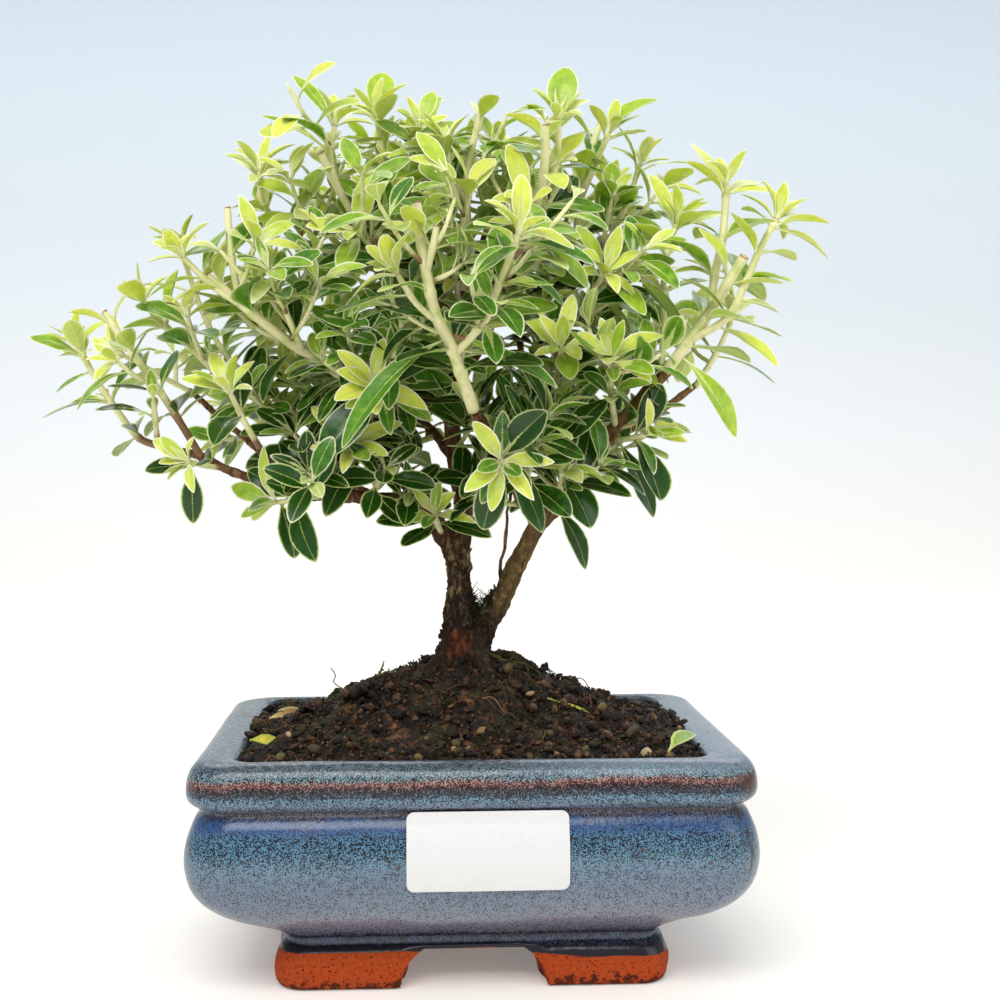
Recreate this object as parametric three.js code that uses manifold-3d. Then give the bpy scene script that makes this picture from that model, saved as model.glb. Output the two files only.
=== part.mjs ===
// A serissa bonsai in its glazed pot, with soil, trunk, branches and leafy stems.
// Millimetres, +Z up. The long side of the pot runs along X and its front faces -Y.
// Heights are measured from the surface that the feet stand on, and X and Y from the middle of the pot.
import * as THREE from "three";
import { mergeVertices } from "three/addons/utils/BufferGeometryUtils.js";
import Module from "manifold-3d";

const wasm = await Module();
wasm.setup();

// Pot: outer size at the lip, the wall, and the feet under it.
const potLength = 120;
const potDepth = 90;
const potHeight = 50;
const rimSideWidth = 9.2;
const rimFrontWidth = 6.4;
const rimInnerRound = 0.9;
const lipCornerRadius = 8;
const bellyCornerRadius = 10;
const baseCornerRadius = 6;
const innerCornerRadius = 5;
const bellyLowZ = 12;
const bellyHighZ = 38;
const baseHalfLength = 40.3;
const baseHalfDepth = 33;
const floorTopZ = 14;
const footHeight = 8.4;
const footHalfLength = 42.3;
const footHalfDepth = 35;
const footWall = 9;
const footGapLow = 15.3;
const footGapHigh = 10.5;
const sideGapLow = 13;
const sideGapHigh = 9;
const drainRadius = 4.5;
const drainX = 24;
const drainSides = 12;
const screenSide = 16;
const screenThickness = 0.8;
const screenHole = 5;
const screenHoleX = 3.5;
const gap = 0.3;

// Soil: level at the wall of the pot, and the mound that carries the trunk.
const soilEdgeZ = 47.4;
const moundHeight = 18.6;
const moundHalfLength = 35;
const moundHalfDepth = 22;

// Label: a blank sticker on the belly of the pot.
const labelWidth = 33.5;
const labelLowZ = 24.2;
const labelHighZ = 40.3;
const labelX = 2.5;
const labelThickness = 0.4;
const labelCorner = 1.6;
const labelStandOff = 0.15;

// Leaves: thin folded blades, in opposite pairs along each stem.
const bladeThickness = 1.1;
const bladeFold = 0.22;
const pairStep = 7.8;
const firstPair = 9;
const stubLength = 5;
const tipPair = 0.9;
const lastPair = 2.6;
const rootOffset = 0.45;
const oldLeafBelow = 125;
const leafClearance = 2;
const sameStemClearance = 0.9;
const cell = 4;
const stemSampleStep = 1.5;

const colours = {
  glaze: [0x3f5f86, 0.35],
  soil: [0x2b1d16, 0.95],
  bark: [0x5b4636, 0.85],
  youngLeaf: [0xa9c95a, 0.5],
  oldLeaf: [0x3f6e2c, 0.4],
  label: [0xf4f4f2, 0.45],
  dropped: { yellow: [0xcdb83c, 0.55], tan: [0xc2a65a, 0.6], brown: [0x7a5132, 0.7], green: [0x7fae3f, 0.5] },
  screen: [0x23262a, 0.6],
};

const vec = (x, y, z) => new THREE.Vector3(x, y, z);
const up = vec(0, 0, 1);

// ---- solids ----

function solidOf(geometry) {
  geometry.deleteAttribute("normal");
  geometry.deleteAttribute("uv");
  const merged = mergeVertices(geometry, 1e-4);
  const vertProperties = merged.attributes.position.array;
  const triVerts = new Uint32Array(merged.index.array);
  return new wasm.Manifold(new wasm.Mesh({ numProp: 3, vertProperties, triVerts }));
}

function solidFrom(points, faces) {
  const geometry = new THREE.BufferGeometry().setFromPoints(points);
  geometry.setIndex(faces.flat());
  return solidOf(geometry);
}

// A skin over rings of points that turn anticlockwise seen from the last ring, closed by flat ends.
function loft(rings) {
  const n = rings[0].length;
  const faces = [];
  for (let r = 0; r + 1 < rings.length; r++) {
    for (let i = 0; i < n; i++) {
      const a = r * n + i;
      const b = r * n + ((i + 1) % n);
      faces.push([a, b, b + n], [a, b + n, a + n]);
    }
  }
  const last = (rings.length - 1) * n;
  for (let i = 1; i + 1 < n; i++) {
    faces.push([0, i + 1, i], [last, last + i, last + i + 1]);
  }
  return solidFrom(rings.flat(), faces);
}

function joined(solids) {
  let round = solids;
  while (round.length > 1) {
    const next = [];
    for (let i = 0; i < round.length; i += 2) {
      next.push(i + 1 < round.length ? round[i].add(round[i + 1]) : round[i]);
    }
    round = next;
  }
  return round[0];
}

// The largest body of a solid, without the scraps that a cut leaves.
function mainBody(solid) {
  return solid.decompose().reduce((a, b) => (b.volume() > a.volume() ? b : a));
}

function meshOf(name, solid, [color, roughness]) {
  const { vertProperties, triVerts } = solid.getMesh();
  const geometry = new THREE.BufferGeometry();
  geometry.setAttribute("position", new THREE.BufferAttribute(vertProperties, 3));
  geometry.setIndex(new THREE.BufferAttribute(triVerts, 1));
  const material = new THREE.MeshStandardMaterial({ color, roughness, metalness: 0 });
  const mesh = new THREE.Mesh(geometry, material);
  mesh.name = name;
  return mesh;
}

function boxSolid(sizeX, sizeY, sizeZ, x, y, z) {
  return solidOf(new THREE.BoxGeometry(sizeX, sizeY, sizeZ).translate(x, y, z));
}

// ---- pot ----

// A rounded rectangle at one height, anticlockwise seen from above.
function roundedRing(halfLength, halfDepth, radius, z, steps = 4) {
  const ring = [];
  for (const [sx, sy, start] of [[1, 1, 0], [-1, 1, 1], [-1, -1, 2], [1, -1, 3]]) {
    for (let i = 0; i <= steps; i++) {
      const turn = (start + i / steps) * (Math.PI / 2);
      const x = sx * (halfLength - radius) + radius * Math.cos(turn);
      const y = sy * (halfDepth - radius) + radius * Math.sin(turn);
      ring.push(vec(x, y, z));
    }
  }
  return ring;
}

// The outside of the pot from its base up to the middle of the rim: distance in from the lip, and height.
function outerProfile() {
  const belly = new THREE.Path();
  belly.moveTo(potLength / 2 - baseHalfLength, footHeight - 0.2);
  belly.lineTo(potLength / 2 - baseHalfLength, bellyLowZ - 1);
  belly.quadraticCurveTo(17.8, 12.6, 10.5, 15.3);
  belly.quadraticCurveTo(2.6, 18.2, 0.3, 23.4);
  belly.quadraticCurveTo(-2.4, 30, 1.5, bellyHighZ);
  belly.lineTo(3.1, bellyHighZ + 1.5);
  belly.quadraticCurveTo(0.2, 41, 0, 43.5);
  belly.quadraticCurveTo(-0.1, 49.4, 3.4, potHeight);
  return belly.getPoints(3);
}

// The belly draws in less on the long sides, down to the depth of the base.
function depthInset(inset, z) {
  const share = (potDepth / 2 - baseHalfDepth) / (potLength / 2 - baseHalfLength);
  return z < bellyHighZ - 8 ? inset * share : inset;
}

function cornerRadius(z) {
  if (z < bellyLowZ) return baseCornerRadius;
  if (z < bellyHighZ - 8) {
    const share = (z - bellyLowZ) / (bellyHighZ - 8 - bellyLowZ);
    return baseCornerRadius + (bellyCornerRadius - baseCornerRadius) * Math.sqrt(share);
  }
  return z > bellyHighZ ? lipCornerRadius : bellyCornerRadius;
}

function outerRing({ x: inset, y: z }) {
  const halfLength = potLength / 2 - inset;
  const halfDepth = potDepth / 2 - depthInset(inset, z);
  return roundedRing(halfLength, halfDepth, cornerRadius(z), z);
}

// The inside of the pot from topZ to its floor, a little larger or smaller by grow.
// Each row is how far it draws in on the long axis, and its height above the floor.
const innerRows = [[0, 16], [3, 10.5], [9, 6], [16, 2], [19, 0]];

function innerRings(topZ, grow) {
  const halfLength = potLength / 2 - rimSideWidth + grow;
  const halfDepth = potDepth / 2 - rimFrontWidth + grow;
  const lower = innerRows.map(([inset, height]) => {
    const depth = halfDepth - depthInset(inset, floorTopZ);
    return roundedRing(halfLength - inset, depth, innerCornerRadius, floorTopZ + height - grow);
  });
  return [roundedRing(halfLength, halfDepth, innerCornerRadius, topZ), ...lower];
}

// The gap between two feet, wider at the bottom than at the top and rounded above.
function footGapBar(low, high, through) {
  const outline = new THREE.Shape();
  outline.moveTo(-low, -1);
  outline.lineTo(-low, 2.5);
  outline.quadraticCurveTo(-low + 1, footHeight - 2.5, -high, footHeight);
  outline.lineTo(high, footHeight);
  outline.quadraticCurveTo(low - 1, footHeight - 2.5, low, 2.5);
  outline.lineTo(low, -1);
  const settings = { depth: through, bevelEnabled: false, curveSegments: 3 };
  const bar = new THREE.ExtrudeGeometry(outline, settings);
  return bar.translate(0, 0, -through / 2).rotateX(Math.PI / 2);
}

function feetSolid() {
  const block = loft([
    roundedRing(footHalfLength - 0.8, footHalfDepth - 0.8, baseCornerRadius, 0),
    roundedRing(footHalfLength, footHalfDepth, baseCornerRadius, 1.2),
    roundedRing(footHalfLength + 0.4, footHalfDepth + 0.4, baseCornerRadius, 5),
    roundedRing(footHalfLength - 1.2, footHalfDepth - 1.2, baseCornerRadius, footHeight + 0.6),
  ]);
  const wellLength = 2 * (footHalfLength - footWall);
  const wellDepth = 2 * (footHalfDepth - footWall);
  const well = boxSolid(wellLength, wellDepth, footHeight + 2, 0, 0, footHeight / 2 - 1);
  const frontGap = solidOf(footGapBar(footGapLow, footGapHigh, potDepth));
  const sideGap = solidOf(footGapBar(sideGapLow, sideGapHigh, potLength).rotateZ(Math.PI / 2));
  return block.subtract(well).subtract(frontGap).subtract(sideGap);
}

function potSolid() {
  const inner = innerRings(potHeight - 1.2, 0);
  const edgeLength = potLength / 2 - rimSideWidth + rimInnerRound;
  const edgeDepth = potDepth / 2 - rimFrontWidth + rimInnerRound;
  const rimEdge = roundedRing(edgeLength, edgeDepth, innerCornerRadius, potHeight - 0.1);
  let body = loft([...outerProfile().map(outerRing), rimEdge, ...inner]);
  for (const x of [-drainX, drainX]) {
    const hole = new THREE.CylinderGeometry(drainRadius, drainRadius, potHeight / 2, drainSides);
    body = body.subtract(solidOf(hole.rotateX(Math.PI / 2).translate(x, 0, footHeight)));
  }
  return body.add(feetSolid());
}

function drainScreen(x) {
  const z = floorTopZ + gap + screenThickness / 2;
  let screen = boxSolid(screenSide, screenSide, screenThickness, x, 0, z);
  for (const hx of [-screenHoleX, screenHoleX]) {
    for (const hy of [-screenHoleX, screenHoleX]) {
      screen = screen.subtract(boxSolid(screenHole, screenHole, 3 * screenThickness, x + hx, hy, z));
    }
  }
  return screen;
}

// ---- soil ----

// Height of the soil: a mound round the trunk with slow lumps in it.
function soilHeight(x, y) {
  const spread = (x / moundHalfLength) ** 2 + (y / moundHalfDepth) ** 2;
  const broadLumps = 0.9 * Math.sin(0.31 * x + 1.3) * Math.cos(0.37 * y + 0.4);
  const smallLumps = 0.5 * Math.sin(0.83 * x - 0.6 * y);
  const clearOfTrunk = Math.min(1, Math.hypot(x, y) / 12);
  return soilEdgeZ + moundHeight * Math.exp(-spread) + (broadLumps + smallLumps) * clearOfTrunk;
}

function soilSolid(grownWood) {
  const [top, ...inside] = innerRings(soilEdgeZ, -gap);
  const surface = [0.96, 0.88, 0.76, 0.62, 0.47, 0.32, 0.15].map((share) =>
    top.map((p) => vec(p.x * share, p.y * share, soilHeight(p.x * share, p.y * share))),
  );
  const edge = top.map((p) => vec(p.x, p.y, soilEdgeZ - 0.8));
  let soil = loft([...inside.reverse(), edge, ...surface]);
  for (const x of [-drainX, drainX]) {
    const room = screenSide + 2 * gap;
    soil = soil.subtract(boxSolid(room, room, 2 * (screenThickness + 2 * gap), x, 0, floorTopZ));
  }
  return mainBody(soil.subtract(grownWood));
}

// ---- stems: smooth routes with a taper ----

function routeCurve(points) {
  return new THREE.CatmullRomCurve3(points.map((p) => vec(...p)), false, "catmullrom", 0.5);
}

function tangentAt(curve, t) {
  const a = curve.getPoint(Math.max(t - 0.02, 0));
  const b = curve.getPoint(Math.min(t + 0.02, 1));
  return b.sub(a).normalize();
}

function routeLength(points) {
  const stations = routeCurve(points).getPoints(20);
  return stations.slice(1).reduce((sum, p, i) => sum + p.distanceTo(stations[i]), 0);
}

// A tapered tube along a route, with few sides; grow makes it thicker all round.
function stemSolid({ route, radii, sides = 4, ringStep = 9 }, grow = 0) {
  const curve = routeCurve(route);
  const count = Math.max(2, Math.round(routeLength(route) / ringStep));
  let normal = vec(0.31, 0.95, 0.07);
  const rings = [];
  for (let i = 0; i <= count; i++) {
    const t = i / count;
    const along = tangentAt(curve, t);
    normal = normal.clone().addScaledVector(along, -normal.dot(along)).normalize();
    const across = along.clone().cross(normal);
    const radius = THREE.MathUtils.lerp(radii[0], radii[1], t) + grow;
    const middle = curve.getPoint(t);
    const ring = [];
    for (let k = 0; k < sides; k++) {
      const turn = (2 * Math.PI * k) / sides;
      const side = normal.clone().multiplyScalar(radius * Math.cos(turn));
      ring.push(side.addScaledVector(across, radius * Math.sin(turn)).add(middle));
    }
    rings.push(ring);
  }
  return loft(rings);
}

// Trunk, branches and roots. Each route starts inside what it grows from.
const woodRoutes = [
  // left trunk, from the soil to the crown
  { route: [[-1, 0, 52], [-1, 0, 66], [-2, 0, 76], [-2, 0, 84]], radii: [6.5, 2.7], sides: 8, ringStep: 5 },
  { route: [[-2, 0, 82], [-2, 0, 90], [-1, 1, 101], [-3, 2, 113], [-4, 3, 128], [-3, 4, 141], [-1, 4, 152]],
    radii: [2.9, 1.3], sides: 6 },
  // right trunk
  { route: [[1, 0, 60], [3, -2, 72], [7, -3, 79], [11, -5, 88], [16, -7, 98]], radii: [3.4, 2], sides: 7 },
  // surface roots and the roots in the soil
  {
    route: [[2, -1, 64], [7, -3, 67], [12, -4, 66], [16, -5, 63], [18, -6, 56]],
    radii: [1.2, 0.6],
    sides: 4,
  },
  { route: [[-3, -2, 66], [-8, -6, 65], [-12, -9, 60], [-15, -11, 54]], radii: [1.8, 0.7] },
  { route: [[1, -3, 62], [4, -8, 58], [8, -13, 53], [13, -18, 47]], radii: [2, 0.8] },
  {
    route: [[-1, 0, 58], [-2, 4, 46], [-10, 10, 34], [-22, 14, 26]],
    radii: [3.6, 0.9],
    sides: 4,
    ringStep: 14,
  },
  {
    route: [[0, 0, 56], [5, -2, 44], [16, -8, 34], [30, -12, 27]],
    radii: [3.4, 0.9],
    sides: 4,
    ringStep: 14,
  },
  // low left limb and its branches
  { route: [[-2, 0, 87], [-6, -1, 95], [-9, -2, 101], [-13, -2, 104]], radii: [2.3, 1.8], sides: 6 },
  { route: [[-12, -2, 104], [-19, -5, 103], [-26, -8, 104], [-33, -10, 104.5], [-38, -12, 104.5]],
    radii: [1.8, 1.3], sides: 5 },
  { route: [[-36, -12, 104.5], [-45, -12, 107], [-54, -11, 110], [-60, -10, 113], [-68, -9, 115]],
    radii: [1.2, 0.9] },
  { route: [[-36, -12, 104], [-42, -14, 108], [-47, -17, 115]], radii: [1.1, 0.8] },
  { route: [[-12, -2, 104], [-21, 0, 111], [-28, 2, 117], [-35, 5, 124]], radii: [1.1, 0.8] },
  { route: [[-28, -9, 104], [-34, -8, 112], [-40, -7, 118], [-46, -6, 125]], radii: [1.2, 0.9] },
  { route: [[-20, 0, 110.5], [-26, 6, 119], [-31, 10, 127], [-40, 13, 135]], radii: [0.9, 0.7] },
  { route: [[-41, -12, 107.5], [-49, 0, 115], [-57, 8, 121], [-66, 10, 129]], radii: [1, 0.7] },
  { route: [[-20, -5, 103], [-27, 7, 106], [-36, 19, 112], [-45, 27, 119]], radii: [1.2, 0.8] },
  // upper left branch
  { route: [[-4, 2, 122], [-11, -4, 126], [-21, -10, 129], [-29, -14, 133]], radii: [1.5, 1.2] },
  { route: [[-3, 4, 139], [-9, 3, 149], [-16, 1, 156], [-21, -2, 160]], radii: [1.4, 1] },
  { route: [[-3, 4, 142], [-8, 4, 152], [-12, 3, 160]], radii: [1, 0.8] },
  // right branches
  { route: [[15, -6.5, 96], [18, -4, 105], [20, -1, 113], [21, 2, 128], [24, 4, 145], [25, 5, 156]],
    radii: [1.6, 1], sides: 5 },
  { route: [[15, -6.5, 96], [22, -9, 104], [27, -10, 112], [35, -12, 122], [45, -14, 133]],
    radii: [1.7, 1.4], sides: 5 },
  { route: [[20, -1, 112], [15, 7, 120], [14, 10, 128], [13, 12, 141], [12, 11, 152]], radii: [1, 0.8] },
  { route: [[15, -7, 98], [9, -18, 108], [4, -26, 117], [0, -32, 123]], radii: [1.4, 1.3], sides: 5 },
  { route: [[28, -10.5, 114], [37, -2, 119], [48, 8, 125], [57, 14, 131]], radii: [1.2, 0.8] },
  // branches behind the trunks
  { route: [[-3, 2, 112], [-8, 14, 119], [-15, 26, 126], [-22, 35, 133]], radii: [1.3, 0.8] },
  { route: [[-4, 3, 127], [1, 16, 135], [6, 29, 143], [8, 38, 150]], radii: [1.3, 0.8] },
  { route: [[21, 1, 122], [28, 12, 129], [36, 23, 136], [42, 31, 143]], radii: [1.2, 0.8] },
  { route: [[-3, 4, 141], [-10, 13, 149], [-17, 22, 157], [-22, 28, 164]], radii: [1.1, 0.8] },
  { route: [[24.5, 5, 152], [28, 13, 160], [31, 21, 167]], radii: [0.9, 0.7] },
  { route: [[-1, 4, 149], [2, 12, 159], [5, 19, 168]], radii: [1, 0.7] },
  // thin dead twigs
  { route: [[7.5, -4, 80], [7.4, -6.5, 87], [8.4, -7.5, 96], [9.4, -8, 105]], radii: [0.45, 0.3], sides: 3 },
  { route: [[-8, -2, 99], [-11, -7, 104], [-14, -8, 109], [-17, -9, 114]], radii: [0.5, 0.35], sides: 3 },
];

function woodSolid(grow = 0) {
  return joined(woodRoutes.map((stem) => stemSolid(stem, grow)));
}

// ---- leafy stems ----

// Each spray is one node: pale stems with their leaves. A shoot is its route, its radii, the length of
// its leaves, and whether it was pruned to a bare stub. A chosen leaf is its root, its tip and its width.
const sprays = [
  { name: "far_left", shoots: [
    [[[-67, -9, 115], [-74, -8, 117], [-79, -8, 123], [-83, -8, 129], [-88, -8, 138]], [0.9, 0.7], 12],
    [[[-70, -9, 115.5], [-70, -12, 120], [-70, -15, 126]], [0.7, 0.6], 10],
  ], leaves: [[-88, -8, 138, -96, -10, 142, 5], [-86, -8, 132, -93, -9, 129, 3.5]] },
  { name: "low_far_left", shoots: [
    [[[-55, -11, 110.5], [-58, -15, 111], [-62, -18, 112]], [0.7, 0.6], 11],
  ], leaves: [[-62, -18, 112, -61, -19, 99, 5]] },
  { name: "left_pruned", shoots: [
    [[[-60, -10, 112.5], [-66, -12, 123], [-70, -12, 129], [-77, -12, 139], [-81, -12, 145]], [0.9, 0.8], 11, true],
    [[[-70, -12, 129], [-74, -16, 131], [-77, -19, 134]], [0.6, 0.5], 10],
  ], leaves: [] },
  { name: "left", shoots: [
    [[[-46, -6, 125], [-55, -7, 130], [-63, -8, 138], [-69, -9, 143], [-73, -10, 148]], [0.9, 0.7], 12],
    [[[-60, -8, 135], [-61, -14, 139], [-62, -18, 144]], [0.6, 0.5], 11],
  ], leaves: [] },
  { name: "upper_far_left", shoots: [
    [[[-41, -7, 119.5], [-49, -1, 129], [-57, 1, 138], [-62, 1, 148], [-66, -1, 161]], [0.8, 0.6], 12],
  ], leaves: [] },
  { name: "upper_left", shoots: [
    [[[-29, -14, 133], [-38, -17, 137], [-46, -20, 143], [-51, -21, 147], [-57, -22, 152]], [1.2, 1], 14, true],
    [[[-50, -21, 146], [-56, -23, 150], [-62, -25, 156]], [0.8, 0.6], 11],
    [[[-50, -21, 146], [-52, -20, 156], [-53, -19, 167]], [0.9, 0.8], 11, true],
    [[[-37, -17, 136.5], [-40, -22, 144], [-42, -26, 151]], [0.8, 0.6], 12],
  ], leaves: [] },
  { name: "upper_left_tip", shoots: [
    [[[-19, -1, 159], [-30, 0, 160], [-40, 1, 164], [-47, 0, 171], [-48, -1, 179]], [0.8, 0.6], 12],
  ], leaves: [] },
  { name: "left_inner", shoots: [
    [[[-34, 4.5, 123], [-38, -1, 127], [-41, -4, 132]], [0.7, 0.6], 13],
  ], leaves: [] },
  { name: "left_middle", shoots: [
    [[[-46, -16, 114], [-49, -21, 120], [-52, -25, 127]], [0.8, 0.6], 13],
  ], leaves: [] },
  { name: "left_back", shoots: [
    [[[-65, 10, 128], [-74, 9, 133], [-81, 7, 137]], [0.7, 0.6], 12],
    [[[-69, 9.7, 130], [-70, 16, 133], [-71, 23, 138]], [0.6, 0.5], 12],
  ], leaves: [] },
  { name: "left_top_back", shoots: [
    [[[-39, 13, 134], [-46, 15, 142], [-52, 18, 151]], [0.7, 0.6], 12],
    [[[-43, 14, 138], [-44, 22, 141], [-46, 29, 146]], [0.6, 0.5], 12],
  ], leaves: [] },
  { name: "low_left", shoots: [
    [[[-30, -9.5, 104.5], [-36, -16, 104], [-43, -19, 103]], [0.7, 0.6], 13],
  ], leaves: [[-42, -19, 103, -38, -21, 92, 6]] },
  { name: "low_left_back", shoots: [
    [[[-44, 26, 118], [-52, 32, 122], [-60, 36, 127]], [0.8, 0.6], 12],
    [[[-48, 29.5, 120], [-54, 26, 118], [-60, 24, 117]], [0.7, 0.5], 12],
  ], leaves: [] },
  { name: "low_middle_left", shoots: [
    [[[-6, -1, 95], [-7, -8, 97], [-8, -14, 100]], [0.7, 0.6], 12],
  ], leaves: [[-7, -9, 98, -15, -14, 95, 6]] },
  { name: "middle_left", shoots: [
    [[[-18, -8.5, 128], [-19, -18, 127], [-21, -27, 128]], [0.8, 0.6], 15],
  ], leaves: [] },
  { name: "middle_left_low", shoots: [
    [[[-22, 0, 112], [-24, -9, 113], [-26, -18, 115]], [0.7, 0.6], 14],
  ], leaves: [] },
  { name: "front", shoots: [
    [[[0, -32, 123], [-3, -38, 131], [-5, -41, 136], [-8, -44, 142], [-10, -46, 150], [-12, -46, 164]],
      [1.4, 1.1], 14, true],
    [[[-10, -46, 150], [-9, -48, 154], [-8, -49, 159]], [0.8, 0.7], 10, true],
    [[[-7, -43, 140], [-12, -46, 144], [-16, -47, 150]], [0.7, 0.6], 13],
    [[[-4, -40, 134.5], [1, -44, 140], [5, -50, 149], [8, -56, 157]], [0.9, 0.7], 13],
  ], leaves: [
    [-6, -42, 137, -29, -52, 126, 6], [-4, -40, 135, 15, -47, 135, 5], [8, -56, 157, 22, -60, 154, 5],
  ] },
  { name: "low_front", shoots: [
    [[[5, -24, 115], [6, -28, 113], [6, -32, 112]], [0.8, 0.7], 14],
  ], leaves: [[6, -30, 112.5, 17, -34, 101, 9]] },
  { name: "low_right", shoots: [
    [[[19, -8, 101], [20, -15, 105], [20, -21, 110]], [0.8, 0.6], 13],
  ], leaves: [[20, -20, 109, 27, -25, 100, 9], [19, -10, 102, 29, -13, 91, 6]] },
  { name: "right_low", shoots: [
    [[[31, -11, 117], [35, -16, 117], [39, -20, 118]], [0.7, 0.6], 13],
  ], leaves: [[33, -14, 117, 43, -16, 101, 8]] },
  { name: "right_pruned", shoots: [
    [[[44, -14, 132], [49, -15, 139], [54, -16, 146], [60, -22, 157]], [1.3, 1.1], 14, true],
    [[[54, -16, 146], [55, -15, 154], [57, -14, 163], [58, -13, 175]], [1, 0.8], 13],
    [[[49, -15, 139], [57, -19, 144], [61, -20, 152], [64, -20, 159], [68, -19, 166]], [0.9, 0.7], 12],
  ], leaves: [
    [47, -14.5, 136, 62, -19, 121, 7], [58, -13, 174, 53, -16, 184, 7], [58, -13, 174, 69, -14, 176, 5],
    [68, -19, 166, 81, -19, 162, 4.5], [60, -19, 148, 68, -21, 147, 5], [55, -18, 142.5, 68, -24, 136, 5],
  ] },
  { name: "right_upright", shoots: [
    [[[43, -13.5, 131], [44, -12, 142], [44, -11, 151], [45, -11, 160], [47, -12, 166]], [0.8, 0.6], 12],
  ], leaves: [[47, -12, 166, 43, -13, 177, 4], [47, -12, 166, 56, -13, 170, 6]] },
  { name: "right_inner", shoots: [
    [[[33, -12, 120], [31, -20, 127], [30, -27, 134]], [0.8, 0.6], 14],
  ], leaves: [] },
  { name: "right_back", shoots: [
    [[[56, 13, 130], [62, 15, 139], [66, 15, 148]], [0.8, 0.6], 12],
    [[[60, 14.5, 136], [58, 22, 139], [57, 29, 144]], [0.6, 0.5], 12],
  ], leaves: [] },
  { name: "right_top_back", shoots: [
    [[[41, 30, 142], [45, 34, 151], [48, 36, 160]], [0.8, 0.6], 12],
    [[[43, 32, 147], [40, 38, 148], [37, 44, 151]], [0.6, 0.5], 12],
  ], leaves: [] },
  { name: "middle_right", shoots: [
    [[[21, 2, 128], [20, -9, 132], [20, -20, 137]], [0.8, 0.6], 14],
  ], leaves: [] },
  { name: "upper_right_front", shoots: [
    [[[24, 4, 144], [27, -7, 149], [30, -17, 154]], [0.8, 0.6], 13],
  ], leaves: [] },
  { name: "upper_middle_front", shoots: [
    [[[-2, 4, 149], [-3, -4, 155], [-2, -14, 163], [0, -20, 172]], [0.8, 0.6], 13],
  ], leaves: [] },
  { name: "upper_front_left", shoots: [
    [[[-14, 1.5, 155], [-20, -11, 158], [-25, -22, 162]], [0.8, 0.6], 13],
  ], leaves: [] },
  { name: "upper_middle_right", shoots: [
    [[[12.6, 11.5, 145], [12, -1, 153], [11, -12, 164], [12, -22, 168]], [0.9, 0.6], 13],
  ], leaves: [] },
  { name: "top_left_pruned", shoots: [
    [[[-20, -1.5, 159.5], [-24, -5, 164], [-27, -9, 169], [-30, -12, 174], [-33, -15, 180]], [1, 0.9], 12, true],
    [[[-29, -11, 172], [-31, -12, 179], [-30, -13, 187]], [0.8, 0.6], 12],
  ], leaves: [[-30, -13, 187, -36, -14, 199, 4], [-31, -12, 181, -44, -14, 191, 3.5]] },
  { name: "top_left", shoots: [
    [[[-12, 3, 159], [-16, 3, 169], [-19, 2, 180], [-21, 0, 192]], [0.9, 0.7], 13],
  ], leaves: [[-21, 0, 191, -20, 1, 203, 7]] },
  { name: "top_middle", shoots: [
    [[[-10.5, 3.5, 157], [-11, 8, 166], [-12, 9, 176], [-13, 7, 186]], [0.9, 0.7], 13],
  ], leaves: [[-13, 7, 186, -9, 6, 199, 6]] },
  { name: "top_pruned", shoots: [
    [[[-1, 4, 151], [0, 3, 166], [0, 1, 180], [4, 0, 196]], [1, 0.8], 12, true],
    [[[0, 2, 172], [-4, -3, 178], [-5, -6, 185]], [0.7, 0.5], 11],
  ], leaves: [] },
  { name: "top_right_pruned", shoots: [
    [[[12, 11, 151], [15, 0, 161], [15, -10, 168], [16, -20, 176], [16, -23, 185]], [1.1, 1], 13, true],
    [[[15, -13, 170], [19, -18, 178], [19, -22, 187]], [0.8, 0.6], 11],
  ], leaves: [[19, -22, 186, 20, -23, 198, 7]] },
  { name: "top_right", shoots: [
    [[[25, 5, 155], [26, 3, 168], [27, 0, 179], [31, 0, 191]], [1, 0.8], 13, true],
    [[[26, 2, 172], [29, -5, 180], [32, -9, 187]], [0.8, 0.6], 11],
  ], leaves: [[32, -9, 187, 38, -12, 196, 8]] },
  { name: "right_of_top", shoots: [
    [[[25, 5, 153], [32, 1, 162], [37, -1, 172], [40, -2, 181]], [0.8, 0.6], 12],
  ], leaves: [] },
  { name: "back_low", shoots: [
    [[[-21, 34, 132], [-26, 42, 134], [-31, 49, 139]], [0.8, 0.6], 13],
    [[[-23, 37.5, 133], [-18, 43, 132], [-12, 48, 133]], [0.7, 0.5], 13],
  ], leaves: [] },
  { name: "back_left", shoots: [
    [[[-21, 27, 163], [-28, 33, 167], [-35, 37, 173]], [0.8, 0.6], 12],
    [[[-24.5, 30, 165], [-29, 35, 160], [-33, 40, 157]], [0.7, 0.5], 12],
  ], leaves: [] },
  { name: "back_middle", shoots: [
    [[[8, 37, 149], [10, 45, 154], [10, 51, 161]], [0.8, 0.6], 13],
    [[[9, 41, 151.5], [3, 46, 151], [-4, 49, 153]], [0.7, 0.5], 13],
  ], leaves: [] },
  { name: "back_right", shoots: [
    [[[30, 20, 166], [34, 26, 173], [37, 30, 181]], [0.8, 0.6], 12],
    [[[32, 23, 169.5], [27, 31, 169], [22, 38, 171]], [0.7, 0.5], 12],
  ], leaves: [] },
  { name: "back_top", shoots: [
    [[[5, 18, 167], [7, 21, 177], [8, 22, 188]], [0.8, 0.6], 12],
    [[[6, 20, 172], [-1, 25, 176], [-7, 28, 182]], [0.7, 0.5], 12],
  ], leaves: [] },
  { name: "right_low_back", shoots: [
    [[[20, -1, 114], [25, 9, 114], [32, 18, 117], [38, 25, 121]], [0.8, 0.6], 13],
  ], leaves: [] },
  { name: "left_low_middle_back", shoots: [
    [[[-7, 12, 118], [-15, 16, 116], [-24, 20, 118], [-31, 30, 122]], [0.8, 0.6], 13],
  ], leaves: [] },
].map(({ name, shoots, leaves }) => ({
  name: "leafy_stem_" + name,
  shoots: shoots.map(([route, radii, leafLength, pruned = false]) => ({ route, radii, leafLength, pruned })),
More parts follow.
